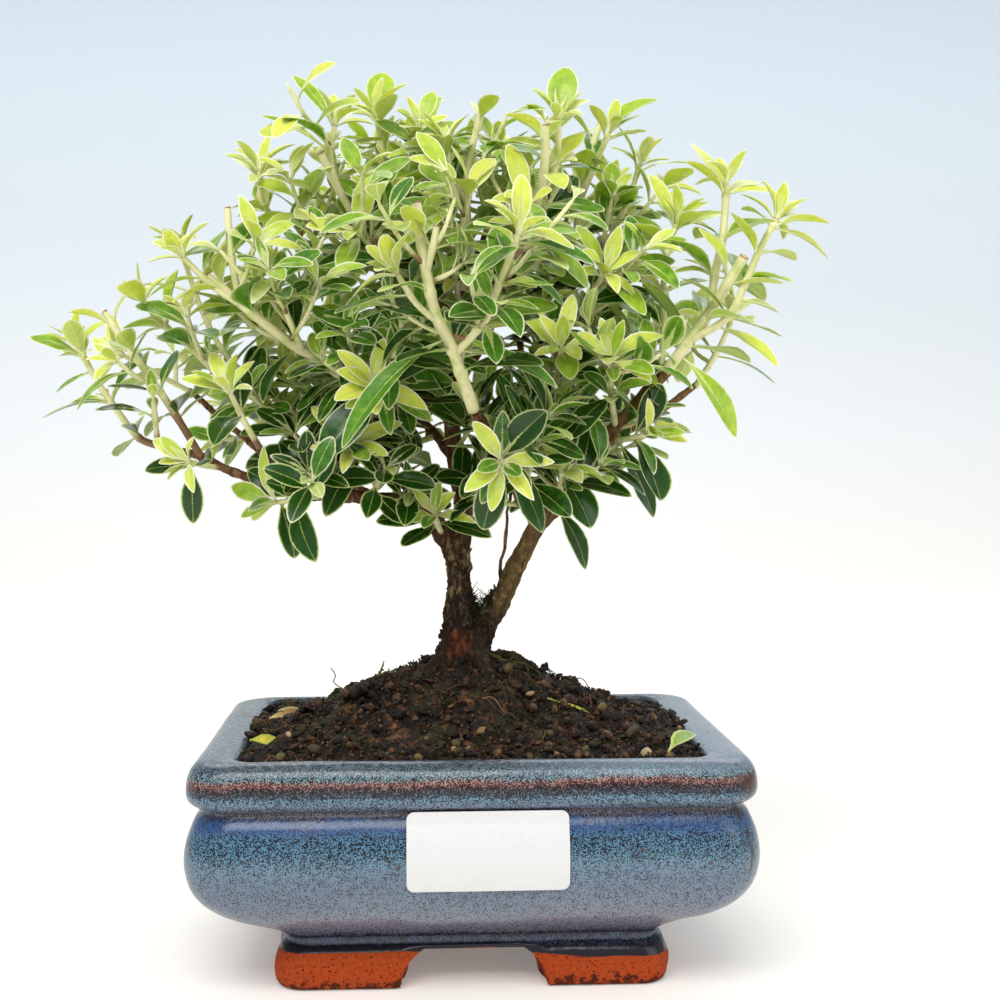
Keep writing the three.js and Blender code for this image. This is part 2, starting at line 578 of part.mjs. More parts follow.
  leaves,
}));

// Repeatable random numbers from 0 to 1.
function seededRandom(seed) {
  let state = seed >>> 0;
  return () => {
    state = (state + 0x6d2b79f5) >>> 0;
    let t = Math.imul(state ^ (state >>> 15), state | 1);
    t ^= t + Math.imul(t ^ (t >>> 7), t | 61);
    return ((t ^ (t >>> 14)) >>> 0) / 4294967296;
  };
}

// Half the width of a leaf at share u of its length, as a share of its full half width.
function bladeShare(u) {
  return Math.sin(Math.PI * Math.min(u, 1) ** 1.25) ** 0.95;
}

// A leaf from its root: along is its direction, face the way its upper side looks.
function makeLeaf(root, along, face, length, width, arch) {
  const dir = along.clone().normalize();
  const up = face.clone().addScaledVector(dir, -face.dot(dir)).normalize();
  return { root, dir, up, side: dir.clone().cross(up), length, width, arch };
}

// A point of the leaf's middle surface: u along it, v from -1 to 1 across it.
function leafPoint({ root, dir, up, side, length, width, arch }, u, v) {
  const half = (width / 2) * bladeShare(u);
  return root
    .clone()
    .addScaledVector(dir, length * u)
    .addScaledVector(up, bladeFold * Math.abs(v) * half - arch * length * u * u)
    .addScaledVector(side, v * half);
}

// The blade as a solid: thickest along its midrib, which stands out as a keel below, and thinner to its edge.
function leafSolid(leaf) {
  const outline = [[0, 0], [0.32, 1], [0.7, 1], [1, 0], [0.7, -1], [0.32, -1]];
  const edge = outline.map(([u, v]) => leafPoint(leaf, u, v));
  const ribTop = leafPoint(leaf, 0.5, 0);
  const ribKeel = ribTop.clone().addScaledVector(leaf.up, -bladeThickness);
  const n = edge.length;
  const faces = edge.flatMap((_, i) => [[i, (i + 1) % n, n], [(i + 1) % n, i, n + 1]]);
  return solidFrom([...edge, ribTop, ribKeel], faces);
}

// Points already taken by stems and leaves, kept by cell so that a new leaf can be bent clear of them.
const taken = new Map();

function cellKey(x, y, z) {
  return `${Math.floor(x / cell)},${Math.floor(y / cell)},${Math.floor(z / cell)}`;
}

function take(point, radius, owner, near) {
  const key = cellKey(point.x, point.y, point.z);
  if (!taken.has(key)) taken.set(key, []);
  taken.get(key).push({ point, radius, owner, near });
}

function takeStem({ route, radii }, owner) {
  const curve = routeCurve(route);
  const count = Math.ceil(routeLength(route) / stemSampleStep);
  for (let i = 0; i <= count; i++) {
    const t = i / count;
    take(curve.getPoint(t), THREE.MathUtils.lerp(radii[0], radii[1], t), owner, true);
  }
}

function leafSamples(leaf) {
  const samples = [];
  for (let i = 1; i <= 8; i++) {
    const u = 0.04 + 0.12 * i;
    for (const v of [-0.9, 0, 0.9]) samples.push({ point: leafPoint(leaf, u, v), near: u < 0.45 });
  }
  return samples;
}

function takeLeaf(leaf, owner) {
  for (const { point, near } of leafSamples(leaf)) take(point, 0, owner, near);
}

const steps = [-cell, 0, cell];
const cellsAround = steps.flatMap((dx) => steps.flatMap((dy) => steps.map((dz) => vec(dx, dy, dz))));

function pointsNear(point) {
  return cellsAround.flatMap((d) => taken.get(cellKey(point.x + d.x, point.y + d.y, point.z + d.z)) ?? []);
}

function isClear(leaf, owner) {
  return leafSamples(leaf).every(({ point, near }) =>
    pointsNear(point).every((other) => {
      const same = other.owner === owner;
      if (same && (near || other.near)) return true;
      const room = (same ? sameStemClearance : leafClearance) + other.radius;
      return point.distanceTo(other.point) >= room;
    }),
  );
}

// Turns tried in order until a leaf is clear: round the stem, away from the stem, and a smaller size.
const tries = [
  [0, 0, 1], [0.4, 0, 1], [-0.4, 0, 1], [0, -0.3, 0.95], [0, 0.3, 0.9], [0.8, 0, 0.9], [-0.8, 0, 0.9],
  [0.4, -0.4, 0.8], [-0.4, -0.4, 0.8], [0, -0.5, 0.7],
];

// A leaf that leaves the stem at share t, turned by azimuth round it and by spread away from it.
function leafAt(curve, t, azimuth, spread, length, width, arch) {
  const along = tangentAt(curve, t);
  const sideways = along.clone().cross(Math.abs(along.z) < 0.95 ? up : vec(1, 0, 0)).normalize();
  const upward = along.clone().cross(sideways);
  const out = sideways.multiplyScalar(Math.cos(azimuth)).addScaledVector(upward, Math.sin(azimuth));
  const dir = along.clone().multiplyScalar(Math.cos(spread)).addScaledVector(out, Math.sin(spread));
  const inner = along.clone().multiplyScalar(Math.sin(spread)).addScaledVector(out, -Math.cos(spread));
  const face = inner.multiplyScalar(0.6).addScaledVector(up, 0.6).addScaledVector(vec(0, -1, 0), 0.1);
  const root = curve.getPoint(t).addScaledVector(dir, rootOffset);
  return makeLeaf(root, dir, face, length, width, arch);
}

function clearLeaf(curve, t, azimuth, spread, length, width, arch, owner) {
  for (const [turn, lean, size] of tries) {
    const leaf = leafAt(curve, t, azimuth + turn, spread + lean, length * size, width * size, arch);
    if (isClear(leaf, owner)) {
      takeLeaf(leaf, owner);
      return [leaf];
    }
  }
  return [];
}

// Opposite pairs along a shoot, each turned a quarter from the last, and smaller ones round its tip.
function shootLeaves({ route, leafLength, pruned }, owner, random) {
  const curve = routeCurve(route);
  const length = routeLength(route);
  const first = Math.min(0.6, firstPair / length);
  const last = 1 - (pruned ? stubLength : lastPair) / length;
  const pairs = Math.max(1, Math.round(((last - first) * length) / pairStep + 0.5));
  const start = random() * Math.PI;
  const leaves = [];
  for (let k = 0; k < pairs; k++) {
    const share = pairs > 1 ? k / (pairs - 1) : 0.3;
    const t = first + (last - first) * share;
    for (const half of [0, Math.PI]) {
      const azimuth = start + k * (Math.PI / 2) + half + 0.3 * (random() - 0.5);
      const spread = 1.1 - 0.35 * share + 0.25 * (random() - 0.5);
      const size = leafLength * (1 - 0.2 * share * share) * (1.02 + 0.25 * random());
      const width = size * (0.42 + 0.08 * random());
      const arch = 0.04 + 0.14 * random();
      leaves.push(...clearLeaf(curve, t, azimuth, spread, size, width, arch, owner));
    }
  }
  if (!pruned) {
    for (const half of [0, Math.PI]) {
      const azimuth = start + pairs * (Math.PI / 2) + half;
      const size = 0.7 * leafLength * (0.9 + 0.2 * random());
      leaves.push(...clearLeaf(curve, 1 - tipPair / length, azimuth, 0.4, size, size * 0.4, -0.05, owner));
    }
  }
  return leaves;
}

// A chosen leaf grows from the nearest point of the spray's stems.
function chosenLeaf([rx, ry, rz, tx, ty, tz, width], shoots) {
  const wanted = vec(rx, ry, rz);
  let root = null;
  for (const { route } of shoots) {
    for (const p of routeCurve(route).getPoints(40).slice(0, 38)) {
      if (!root || p.distanceTo(wanted) < root.distanceTo(wanted)) root = p;
    }
  }
  const along = vec(tx, ty, tz).sub(root);
  const length = along.length();
  root.addScaledVector(along, rootOffset / length);
  return makeLeaf(root, along, vec(0, -0.5, 1), length, width, 0.06);
}

function leafySprays(grownWood) {
  woodRoutes.forEach((stem) => takeStem(stem, "wood"));
  sprays.forEach(({ name, shoots }) => shoots.forEach((shoot) => takeStem(shoot, name)));
  const chosen = sprays.map(({ name, shoots, leaves }) =>
    leaves.map((ends) => {
      const leaf = chosenLeaf(ends, shoots);
      takeLeaf(leaf, name);
      return leaf;
    }),
  );
  return sprays.map(({ name, shoots }, i) => {
    const random = seededRandom(101 + 17 * i);
    const grown = shoots.flatMap((shoot) => shootLeaves(shoot, name, random));
    const stems = shoots.map((shoot) => stemSolid({ ...shoot, sides: shoot.radii[0] < 0.85 ? 3 : 4 }));
    const blades = [...chosen[i], ...grown].map(leafSolid);
    const spray = mainBody(joined([...stems, ...blades]).subtract(grownWood));
    const isLow = shoots[0].route[0][2] < oldLeafBelow;
    return meshOf(name, spray, isLow ? colours.oldLeaf : colours.youngLeaf);
  });
}

// ---- label and fallen leaves ----

// How far the belly stands out towards the front at a height, read along the outer profile.
function frontY(z) {
  const rows = outerProfile();
  const i = rows.findIndex((row, k) => k > 0 && row.y >= z);
  const share = (z - rows[i - 1].y) / (rows[i].y - rows[i - 1].y);
  const inset = rows.slice(i - 1, i + 1).map((row) => depthInset(row.x, row.y));
  return -(potDepth / 2 - THREE.MathUtils.lerp(inset[0], inset[1], share));
}

// A sticker with rounded corners that follows the belly and stands off it by a hair.
function labelSolid() {
  const cornerRows = [0, 0.12, 0.4, 1].map((share) => share * labelCorner);
  const bellyRows = outerProfile()
    .map((row) => row.y)
    .filter((z) => z > labelLowZ + labelCorner && z < labelHighZ - labelCorner);
  const heights = [
    ...cornerRows.map((rise) => labelLowZ + rise),
    ...bellyRows,
    ...cornerRows.reverse().map((drop) => labelHighZ - drop),
  ];
  const rings = heights.map((z) => {
    const toEnd = Math.min(z - labelLowZ, labelHighZ - z);
    const drop = Math.max(0, labelCorner - toEnd);
    const cut = labelCorner - Math.sqrt(labelCorner ** 2 - drop ** 2);
    const half = labelWidth / 2 - cut;
    const back = Math.min(frontY(Math.min(z, bellyHighZ)), frontY(z)) - labelStandOff;
    const front = back - labelThickness;
    const corners = [[-half, front], [half, front], [half, back], [-half, back]];
    return corners.map(([x, y]) => vec(labelX + x, y, z));
  });
  return loft(rings);
}

// Dropped leaves: their colour, where they lie, the way they point, how far the tip is raised, and size.
const droppedLeaves = [
  { name: "yellow", x: -49, y: -18, heading: 0.05, lift: 0.12, face: [0, -0.8, 1], length: 6.8, width: 3.8 },
  { name: "tan", x: -46.5, y: 1, heading: 0.35, lift: 0.3, face: [0, -0.8, 1], length: 8, width: 3.6 },
  { name: "brown", x: -19, y: -26, heading: 0.05, lift: 0.05, face: [0, -0.9, 1], length: 8, width: 5.4 },
  { name: "green", x: 41.5, y: -34.5, heading: 0.78, lift: 0.64, face: [-0.5, -0.7, 0.8], length: 10, width: 4.4 },
];

function droppedLeafSolid({ x, y, heading, lift, face, length, width }, soil) {
  const along = vec(Math.cos(heading), Math.sin(heading), lift);
  const root = vec(x, y, soilHeight(x, y) + bladeThickness);
  const blade = leafSolid(makeLeaf(root, along, vec(...face), length, width, 0.05));
  return mainBody(blade.subtract(soil.translate(0, 0, gap)));
}

// ---- the whole plant in its pot ----

const wood = woodSolid();
const grownWood = woodSolid(gap);
const soil = soilSolid(grownWood);
const meshes = [
  meshOf("pot", potSolid(), colours.glaze),
  meshOf("drain_screen_left", drainScreen(-drainX), colours.screen),
  meshOf("drain_screen_right", drainScreen(drainX), colours.screen),
  meshOf("soil", soil, colours.soil),
  meshOf("wood", wood, colours.bark),
  ...leafySprays(grownWood),
  meshOf("label", labelSolid(), colours.label),
  ...droppedLeaves.map((leaf) => {
    return meshOf("fallen_leaf_" + leaf.name, droppedLeafSolid(leaf, soil), colours.dropped[leaf.name]);
  }),
];

// The group's origin is under the middle of the whole plant's box, on the surface that the pot stands on.
const plant = new THREE.Group();
plant.add(...meshes);
const whole = new THREE.Box3().setFromObject(plant);
const middle = whole.getCenter(vec(0, 0, 0));
plant.position.set(-middle.x, -middle.y, -whole.min.z);

const group = new THREE.Group();
group.add(plant);
export default group;
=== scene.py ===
# A serissa bonsai in its glazed pot: glaze, soil, bark and leaves in place of the plain solids of the frame.
# Shapes are worked out in millimetres from the middle of the pot's foot, with the front of the pot towards
# -Y, and turned to metres when a mesh is made.
import math
import random
from collections import namedtuple

import bpy
import numpy as np
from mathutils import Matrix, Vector, noise


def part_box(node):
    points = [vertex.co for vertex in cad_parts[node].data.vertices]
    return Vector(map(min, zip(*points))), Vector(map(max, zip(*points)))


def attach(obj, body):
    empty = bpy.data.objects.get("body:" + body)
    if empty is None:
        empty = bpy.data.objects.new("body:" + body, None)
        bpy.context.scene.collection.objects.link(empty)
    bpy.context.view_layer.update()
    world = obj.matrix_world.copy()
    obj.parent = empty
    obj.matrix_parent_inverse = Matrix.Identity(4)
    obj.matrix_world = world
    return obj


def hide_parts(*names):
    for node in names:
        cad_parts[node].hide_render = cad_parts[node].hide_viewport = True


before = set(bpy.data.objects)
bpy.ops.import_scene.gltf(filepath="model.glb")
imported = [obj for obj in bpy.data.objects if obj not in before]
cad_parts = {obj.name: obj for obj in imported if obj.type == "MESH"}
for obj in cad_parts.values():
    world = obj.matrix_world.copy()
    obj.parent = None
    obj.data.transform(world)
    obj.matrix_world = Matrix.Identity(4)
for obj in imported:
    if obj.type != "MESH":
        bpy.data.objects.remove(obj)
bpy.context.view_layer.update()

potLow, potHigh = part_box("pot")
potMiddle = np.array([(potLow.x + potHigh.x) / 2, (potLow.y + potHigh.y) / 2, 0.0])


def toMetres(points):
    return np.asarray(points, float) * 0.001 + potMiddle


# ---- camera ----

cameraValues = {
    "lens": 52.85,  # mm
    "sensor": 36,  # mm
    "place": (-12.3, -343.2, 114.4),  # mm
    "turnRight": 3.3,  # degrees
    "tipDown": 1.92,  # degrees
}

cameraData = bpy.data.cameras.new("front camera")
cameraData.lens = cameraValues["lens"]
cameraData.sensor_width = cameraValues["sensor"]
cameraData.clip_start = 0.01
cameraData.clip_end = 30
camera = bpy.data.objects.new("front camera", cameraData)
bpy.context.scene.collection.objects.link(camera)
camera.location = toMetres(cameraValues["place"])
camera.rotation_euler = (
    math.radians(90 - cameraValues["tipDown"]), 0, math.radians(-cameraValues["turnRight"])
)
bpy.context.scene.camera = camera
print("camera is set")


# ---- materials: one helper for every node ----

def linear(hexColour):
    channels = [int(hexColour[i : i + 2], 16) / 255 for i in (1, 3, 5)]
    return tuple(c / 12.92 if c <= 0.04045 else ((c + 0.055) / 1.055) ** 2.4 for c in channels) + (1.0,)


def addNode(material, kind, inputs=None, ramp=None, **settings):
    # an input is a number, a vector, a hex colour, a socket, or a node whose first output is taken
    tree = material.node_tree
    node = tree.nodes.new("ShaderNode" + kind)
    for name, value in settings.items():
        setattr(node, name, value)
    for key, value in (inputs or {}).items():
        if isinstance(value, bpy.types.Node):
            value = value.outputs[0]
        if isinstance(value, bpy.types.NodeSocket):
            tree.links.new(value, node.inputs[key])
        else:
            node.inputs[key].default_value = linear(value) if isinstance(value, str) else value
    if ramp:
        elements = node.color_ramp.elements
        while len(elements) < len(ramp):
            elements.new(0.5)
        for element, (position, colour) in zip(elements, ramp):
            element.position = position
            element.color = linear(colour)
    return node


def mix(material, share, first, second):
    return addNode(material, "MixRGB", {"Fac": share, "Color1": first, "Color2": second})


def remap(material, value, low, high, atLow=0, atHigh=1, kind="LINEAR"):
    values = {0: value, 1: low, 2: high, 3: atLow, 4: atHigh}
    return addNode(material, "MapRange", values, interpolation_type=kind)


def ease(material, value, low, high, atLow=0, atHigh=1):
    return remap(material, value, low, high, atLow, atHigh, "SMOOTHSTEP")


def maths(material, operation, *values):
    return addNode(material, "Math", dict(enumerate(values)), operation=operation)


def times(material, first, second, plus=None):
    if plus is None:
        return maths(material, "MULTIPLY", first, second)
    return maths(material, "MULTIPLY_ADD", first, second, plus)


def noiseAt(material, place, scale, detail, roughness=0.5):
    values = {"Vector": place, "Scale": scale, "Detail": detail, "Roughness": roughness}
    return addNode(material, "TexNoise", values)


def cellsAt(material, place, scale):
    return addNode(material, "TexVoronoi", {"Vector": place, "Scale": scale, "Randomness": 1})


def bumpOf(material, height, strength, distance):
    return addNode(material, "Bump", {"Height": height, "Strength": strength, "Distance": distance})


def rampOf(material, value, stops):
    return addNode(material, "ValToRGB", {0: value}, ramp=stops)


def axesOf(material, vector):
    # the three numbers of a vector
    return tuple(addNode(material, "SeparateXYZ", {0: vector}).outputs)


def stretched(material, vector, scale):
    return addNode(material, "VectorMath", {0: vector, 1: scale}, operation="MULTIPLY")


def pointValue(material, name):
    return addNode(material, "Attribute", attribute_name=name).outputs["Fac"]


def pointValues(material, name):
    return axesOf(material, addNode(material, "Attribute", attribute_name=name).outputs["Vector"])


def finished(material, settings):
    # one Principled shader, wired to the output
    shader = addNode(material, "BsdfPrincipled", settings)
    addNode(material, "OutputMaterial", {"Surface": shader})
    return material


def newMaterial(name):
    material = bpy.data.materials.new(name)
    material.use_nodes = True
    material.node_tree.nodes.clear()
    return material


def millimetres(material):
    # the place of each point, in millimetres from the middle of the pot's foot
    place = addNode(material, "TexCoord").outputs["Object"]
    place = addNode(material, "VectorMath", {0: place, 1: tuple(potMiddle)}, operation="SUBTRACT")
    return stretched(material, place, (1000, 1000, 1000))


# ---- meshes ----

def addPiece(
    name, points, faces, materials, replaces=(), slot=None, values=None, faceMaterials=None, sharp=None
):
    mesh = bpy.data.meshes.new(name)
    mesh.from_pydata(toMetres(points).tolist(), [], faces)
    for material in materials:
        mesh.materials.append(material)
    if faceMaterials is not None:
        mesh.polygons.foreach_set("material_index", np.asarray(faceMaterials, np.int32))
    for label, rows in (values or {}).items():
        rows = np.asarray(rows, np.float32)
        layer = mesh.attributes.new(label, "FLOAT_VECTOR" if rows.ndim == 2 else "FLOAT", "POINT")
        layer.data.foreach_set("vector" if rows.ndim == 2 else "value", rows.ravel())
    mesh.polygons.foreach_set("use_smooth", np.ones(len(mesh.polygons), bool))
    if sharp is not None:  # an edge between two marked points keeps its crease
        ends = np.empty(len(mesh.edges) * 2, np.int32)
        mesh.edges.foreach_get("vertices", ends)
        marked = np.asarray(sharp, bool)[ends].reshape(-1, 2).all(axis=1)
        mesh.attributes.new("sharp_edge", "BOOLEAN", "EDGE").data.foreach_set("value", marked)
    mesh.update()
    piece = bpy.data.objects.new(name, mesh)
    bpy.context.scene.collection.objects.link(piece)
    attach(piece, "root")
    if replaces:
        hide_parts(*replaces)
    return piece


class Parts:
    # gathers the points, faces and point values of many small shapes that make up one piece
    def __init__(self):
        self.points, self.faces, self.faceMaterials, self.sharp, self.values = [], [], [], [], {}
        self.count = 0

    def add(self, points, faces, material=0, sharp=None, **values):
        points = np.asarray(points, float)
        self.points.append(points)
        self.faces.extend([[i + self.count for i in face] for face in faces])
        self.faceMaterials.extend([material] * len(faces))
        self.sharp.append(np.zeros(len(points), bool) if sharp is None else sharp)
        for label, rows in values.items():
            rows = np.asarray(rows, float)
            if len(rows.shape) == 0 or rows.shape == (3,):  # one value for every point
                rows = np.tile(rows, (len(points),) + (1,) * rows.ndim)
            self.values.setdefault(label, []).append(rows)
        self.count += len(points)

    def piece(self, name, materials, **settings):
        values = {label: np.concatenate(rows) for label, rows in self.values.items()}
        return addPiece(
            name, np.concatenate(self.points), self.faces, materials, values=values,
            faceMaterials=self.faceMaterials, sharp=np.concatenate(self.sharp), **settings
        )


def skinFaces(rows, around, startCap=True, endCap=True):
    # faces over rings of points that turn anticlockwise seen from the last ring
    faces = []
    for r in range(rows - 1):
        for i in range(around):
            j = (i + 1) % around
            faces.append([r * around + i, r * around + j, (r + 1) * around + j, (r + 1) * around + i])
    if startCap:
        faces.append(list(range(around))[::-1])
    if endCap:
        faces.append([(rows - 1) * around + i for i in range(around)])
    return faces


def normalised(rows):
    return rows / np.maximum(np.linalg.norm(rows, axis=-1, keepdims=True), 1e-9)


def roughness(points, scale, detail=3, seed=0):
    # fractal noise from about -1 to 1 at each point, for shapes that are not smooth
    shift = Vector((seed * 7.31, seed * 3.17, seed * 5.71))
    fade, finer = 0.9, 2.1  # from each layer of the noise to the next
    return np.array([
        noise.fractal(Vector(p) * scale + shift, fade, finer, detail, noise_basis="PERLIN_ORIGINAL")
        for p in points
    ])


def roundedGrid(halfLength, halfWidth, corner, columns, rows):
    # a flat grid over an oblong, drawn in to the round of its corners
    gx, gy = np.meshgrid(
        np.linspace(-halfLength, halfLength, columns), np.linspace(-halfWidth, halfWidth, rows), indexing="ij"
    )
    overX = np.maximum(np.abs(gx) - (halfLength - corner), 0)
    overY = np.maximum(np.abs(gy) - (halfWidth - corner), 0)
    far = np.maximum(np.hypot(overX, overY), 1e-9)
    fit = np.where((overX > 0) & (overY > 0), np.maximum(overX, overY) / far, 1)
    gx = np.sign(gx) * (np.minimum(np.abs(gx), halfLength - corner) + overX * fit)
    gy = np.sign(gy) * (np.minimum(np.abs(gy), halfWidth - corner) + overY * fit)
    return gx, gy


def gridFaces(columns, rows):
    starts = [i * rows + j for i in range(columns - 1) for j in range(rows - 1)]
    return [[a, a + rows, a + rows + 1, a + 1] for a in starts]


def gridBorder(columns, rows):
    # the points round the edge of a grid, in order
    border = [i * rows for i in range(columns)]
    border += [(columns - 1) * rows + j for j in range(1, rows)]
    border += [i * rows + rows - 1 for i in range(columns - 2, -1, -1)]
    return border + list(range(rows - 2, 0, -1))


# ---- pot ----

potValues = {
    "length": 120, "depth": 90,  # mm at the lip
    "rimSide": 9.2, "rimFront": 6.4,  # mm wide at the ends, and at the front and back
    "innerCorner": 5, "floor": 14,  # mm, radius of the opening's corners, and height of the inside
    "wave": 0.16,  # mm, how far the hand-made wall wanders
    "footLength": 84.6, "footDepth": 70, "footCorner": 6, "footWall": 9, "footTop": 9.3,  # mm
    "footGaps": (15.3, 10.5), "sideGaps": (13, 9),  # mm from the middle, at the foot and at the arch
    "drainPlaces": (-24, 24), "drainRadius": 4.5, "drainDepth": 20,  # mm
    "breakBrown": "#55322a",
    "terracotta": "#bd5020",
}

baseShare = 12 / 19.7  # the belly draws in less on the long sides
halfOpening = potValues["length"] / 2 - potValues["rimSide"], potValues["depth"] / 2 - potValues["rimFront"]


def curvePoints(start, bend, end, count=8):
    t = np.linspace(0, 1, count + 1)[1:, None]
    return (1 - t) ** 2 * np.array(start) + 2 * t * (1 - t) * np.array(bend) + t ** 2 * np.array(end)


# the outside of the pot from its base to the rim: distance in from the lip, and height
potProfile = np.vstack([
    [[19.7, 8.2], [19.7, 9.2], [19.7, 10.2], [19.7, 11]],
    curvePoints((19.7, 11), (17.8, 12.6), (10.5, 15.3), 9),
    curvePoints((10.5, 15.3), (2.6, 18.2), (0.3, 23.4), 9),
    curvePoints((0.3, 23.4), (-2.4, 30), (1.5, 38), 14),
    [[2.3, 38.8], [2.9, 39.4], [3.0, 39.9]],
    curvePoints((2.9, 40.0), (0.2, 41), (0, 43.5), 7),
    curvePoints((0, 43.5), (-0.1, 49.4), (3.4, 50), 12),
])


def depthInset(inset, z):
    share = np.interp(z, [25, 34], [baseShare, 1])
    return inset * share


def cornerRadius(z):
    return float(np.interp(z, [8, 12, 15, 21, 30, 38, 40, 50], [6, 6, 8, 9, 10, 10, 8, 8]))


def ringPlan(longPlaces, shortPlaces, cornerSteps):
    # for each point of a rounded oblong: its share of the straight part, and the way it faces
    rows = []
    for k, places in enumerate((shortPlaces, longPlaces, shortPlaces, longPlaces)):
        turn = k * math.pi / 2
        out = (round(math.cos(turn)), round(math.sin(turn)))
        for place in places:
            share = (out[0] - out[1] * place, out[1] + out[0] * place)
            rows.append((*share, *out))
        corner = (out[0] - out[1], out[1] + out[0])
        for i in range(1, cornerSteps):
            angle = turn + i / cornerSteps * math.pi / 2
            rows.append((*corner, math.cos(angle), math.sin(angle)))
    return np.array(rows)


def ringAt(plan, halfLength, halfDepth, radius, z):
    x = plan[:, 0] * (halfLength - radius) + plan[:, 2] * radius
    y = plan[:, 1] * (halfDepth - radius) + plan[:, 3] * radius
    return np.column_stack([x, y, np.broadcast_to(z, x.shape)])


bodyPlan = ringPlan(np.linspace(-1, 1, 41), np.linspace(-1, 1, 31), 12)


def potBody():
    rings = []
    length, depth = potValues["length"] / 2, potValues["depth"] / 2
    for inset, z in potProfile:
        rings.append(ringAt(bodyPlan, length - inset, depth - depthInset(inset, z), cornerRadius(z), z))
    (openLength, openDepth), corner, floor = halfOpening, potValues["innerCorner"], potValues["floor"]
    # over the rim and down inside: share of the rim's width, height, corner radius
    for share, z, radius in (
        (0.23, 50.15, 7.4), (0.49, 50.15, 6.8), (0.7, 50.1, 6.2), (0.87, 49.95, 5.6), (0.96, 49.6, 5.2),
        *((1, z, corner) for z in (48.9, 47.6, 44, 38, 30)),
    ):
        across, back = (3.4 + share * (potValues[side] - 3.4) for side in ("rimSide", "rimFront"))
        across += np.interp(z, [44, 47.6, 48.9, 50.1, 50.15], [0, 0.7, 1.3, 0.8, 0])
        rings.append(ringAt(bodyPlan, length - across, depth - back, radius, z))
    for inset, height in ((3, 10.5), (9, 6), (16, 2), (19, 0)):
        plan = openLength - inset, openDepth - inset * baseShare, corner
        rings.append(ringAt(bodyPlan, *plan, floor + height))
    points = np.vstack(rings)
    wander = roughness(points, 0.035, 2, 3) * potValues["wave"] * 2
    wander += roughness(points, 0.16, 2, 9) * potValues["wave"] * 0.3
    facing = np.tile(bodyPlan[:, 2:], (len(rings), 1))
    points[:, :2] += facing * wander[:, None]
    points[:, 2] += np.where(points[:, 2] > 42, roughness(points, 0.03, 2, 5) * 0.2, 0)
    # a thumb mark low on the right of the front
    away = np.linalg.norm((points - (43, -38, 17)) * (1, 1, 0.6), axis=1)
    mark = 0.5 * np.exp(-(away / 1.6) ** 2) - 0.8 * np.exp(-(away / 3.6) ** 2)
    points[:, :2] += facing * mark[:, None]
    return points, skinFaces(len(rings), len(bodyPlan))


def gapHeight(distance, low, high):
    # how high the underside rises at this distance from the middle of a gap between two feet
    t = np.linspace(0, 1, 20)
    out = (1 - t) ** 2 * low + 2 * t * (1 - t) * (low - 1) + t ** 2 * high
    rise = (1 - t) ** 2 * 2.4 + 2 * t * (1 - t) * 6.3 + t ** 2 * 8.75
    out = np.concatenate([[low + 1.2, low + 0.55, low + 0.2], out])
    rise = np.concatenate([[0, 0.25, 1.1], rise])
    return np.interp(distance, out[::-1], rise[::-1], left=8.8, right=0)


def footSkirt():
    halfLength, halfDepth = potValues["footLength"] / 2, potValues["footDepth"] / 2
    corner, wall, top = (potValues[name] for name in ("footCorner", "footWall", "footTop"))
    places = []
    for straight, outer, inner, coarse, middle in (
        (halfLength - corner, 19, 8, 8, 5), (halfDepth - corner, 17, 7, 6, 4),
    ):  # points stand close together where the underside bends
        places.append(np.sort(np.concatenate([
            np.linspace(-straight, -outer - 1, coarse), np.arange(-outer, -inner, 0.35), [-middle, 0, middle],
            np.arange(inner + 0.2, outer + 0.1, 0.35), np.linspace(outer + 1, straight, coarse),
        ])) / straight)
    plan = ringPlan(*places, 9)
    outline = ringAt(plan, halfLength, halfDepth, corner, 0)
    isLong, isShort = np.abs(plan[:, 3]) > 0.999, np.abs(plan[:, 2]) > 0.999
    bottom = np.where(isLong, gapHeight(np.abs(outline[:, 0]), *potValues["footGaps"]), 0)
    bottom = np.where(isShort, gapHeight(np.abs(outline[:, 1]), *potValues["sideGaps"]), bottom)
    section = [  # height as a share of the way up, and distance in from the outer face
        (1, 0), (0.8, 0), (0.6, 0), (0.42, 0), (0.27, 0), (0.15, 0.05), (0.07, 0.28), (0.02, 0.75), (0, 1.5),
        (0, wall / 2), (0, wall - 1.2), (0.04, wall - 0.4), (0.15, wall), (0.6, wall), (1, wall),
    ]
    rings = []
    for share, inward in section:
        z = bottom + share * (top - bottom)
        swell = np.interp(z, [0, 1.2, 5, top], [0.25, 0, -0.4, 1.2]) if inward < 1 else 0
        away = inward + swell
        rings.append(ringAt(plan, halfLength - away, halfDepth - away, max(0.6, corner - inward), z))
    around, count = len(plan), len(section)
    points = np.stack(rings, axis=1).reshape(-1, 3)
    points += normalised(points * (1, 1, 0)) * (roughness(points, 0.12, 3, 4) * 0.35)[:, None]
    points[:, 2] = np.maximum(points[:, 2] + roughness(points, 0.2, 2, 8) * 0.12 * (points[:, 2] > 0.3), 0)
    faces = []
    for i in range(around):
        j = (i + 1) % around
        for k in range(count):
            m = (k + 1) % count
            faces.append([i * count + k, i * count + m, j * count + m, j * count + k])
    return points, faces


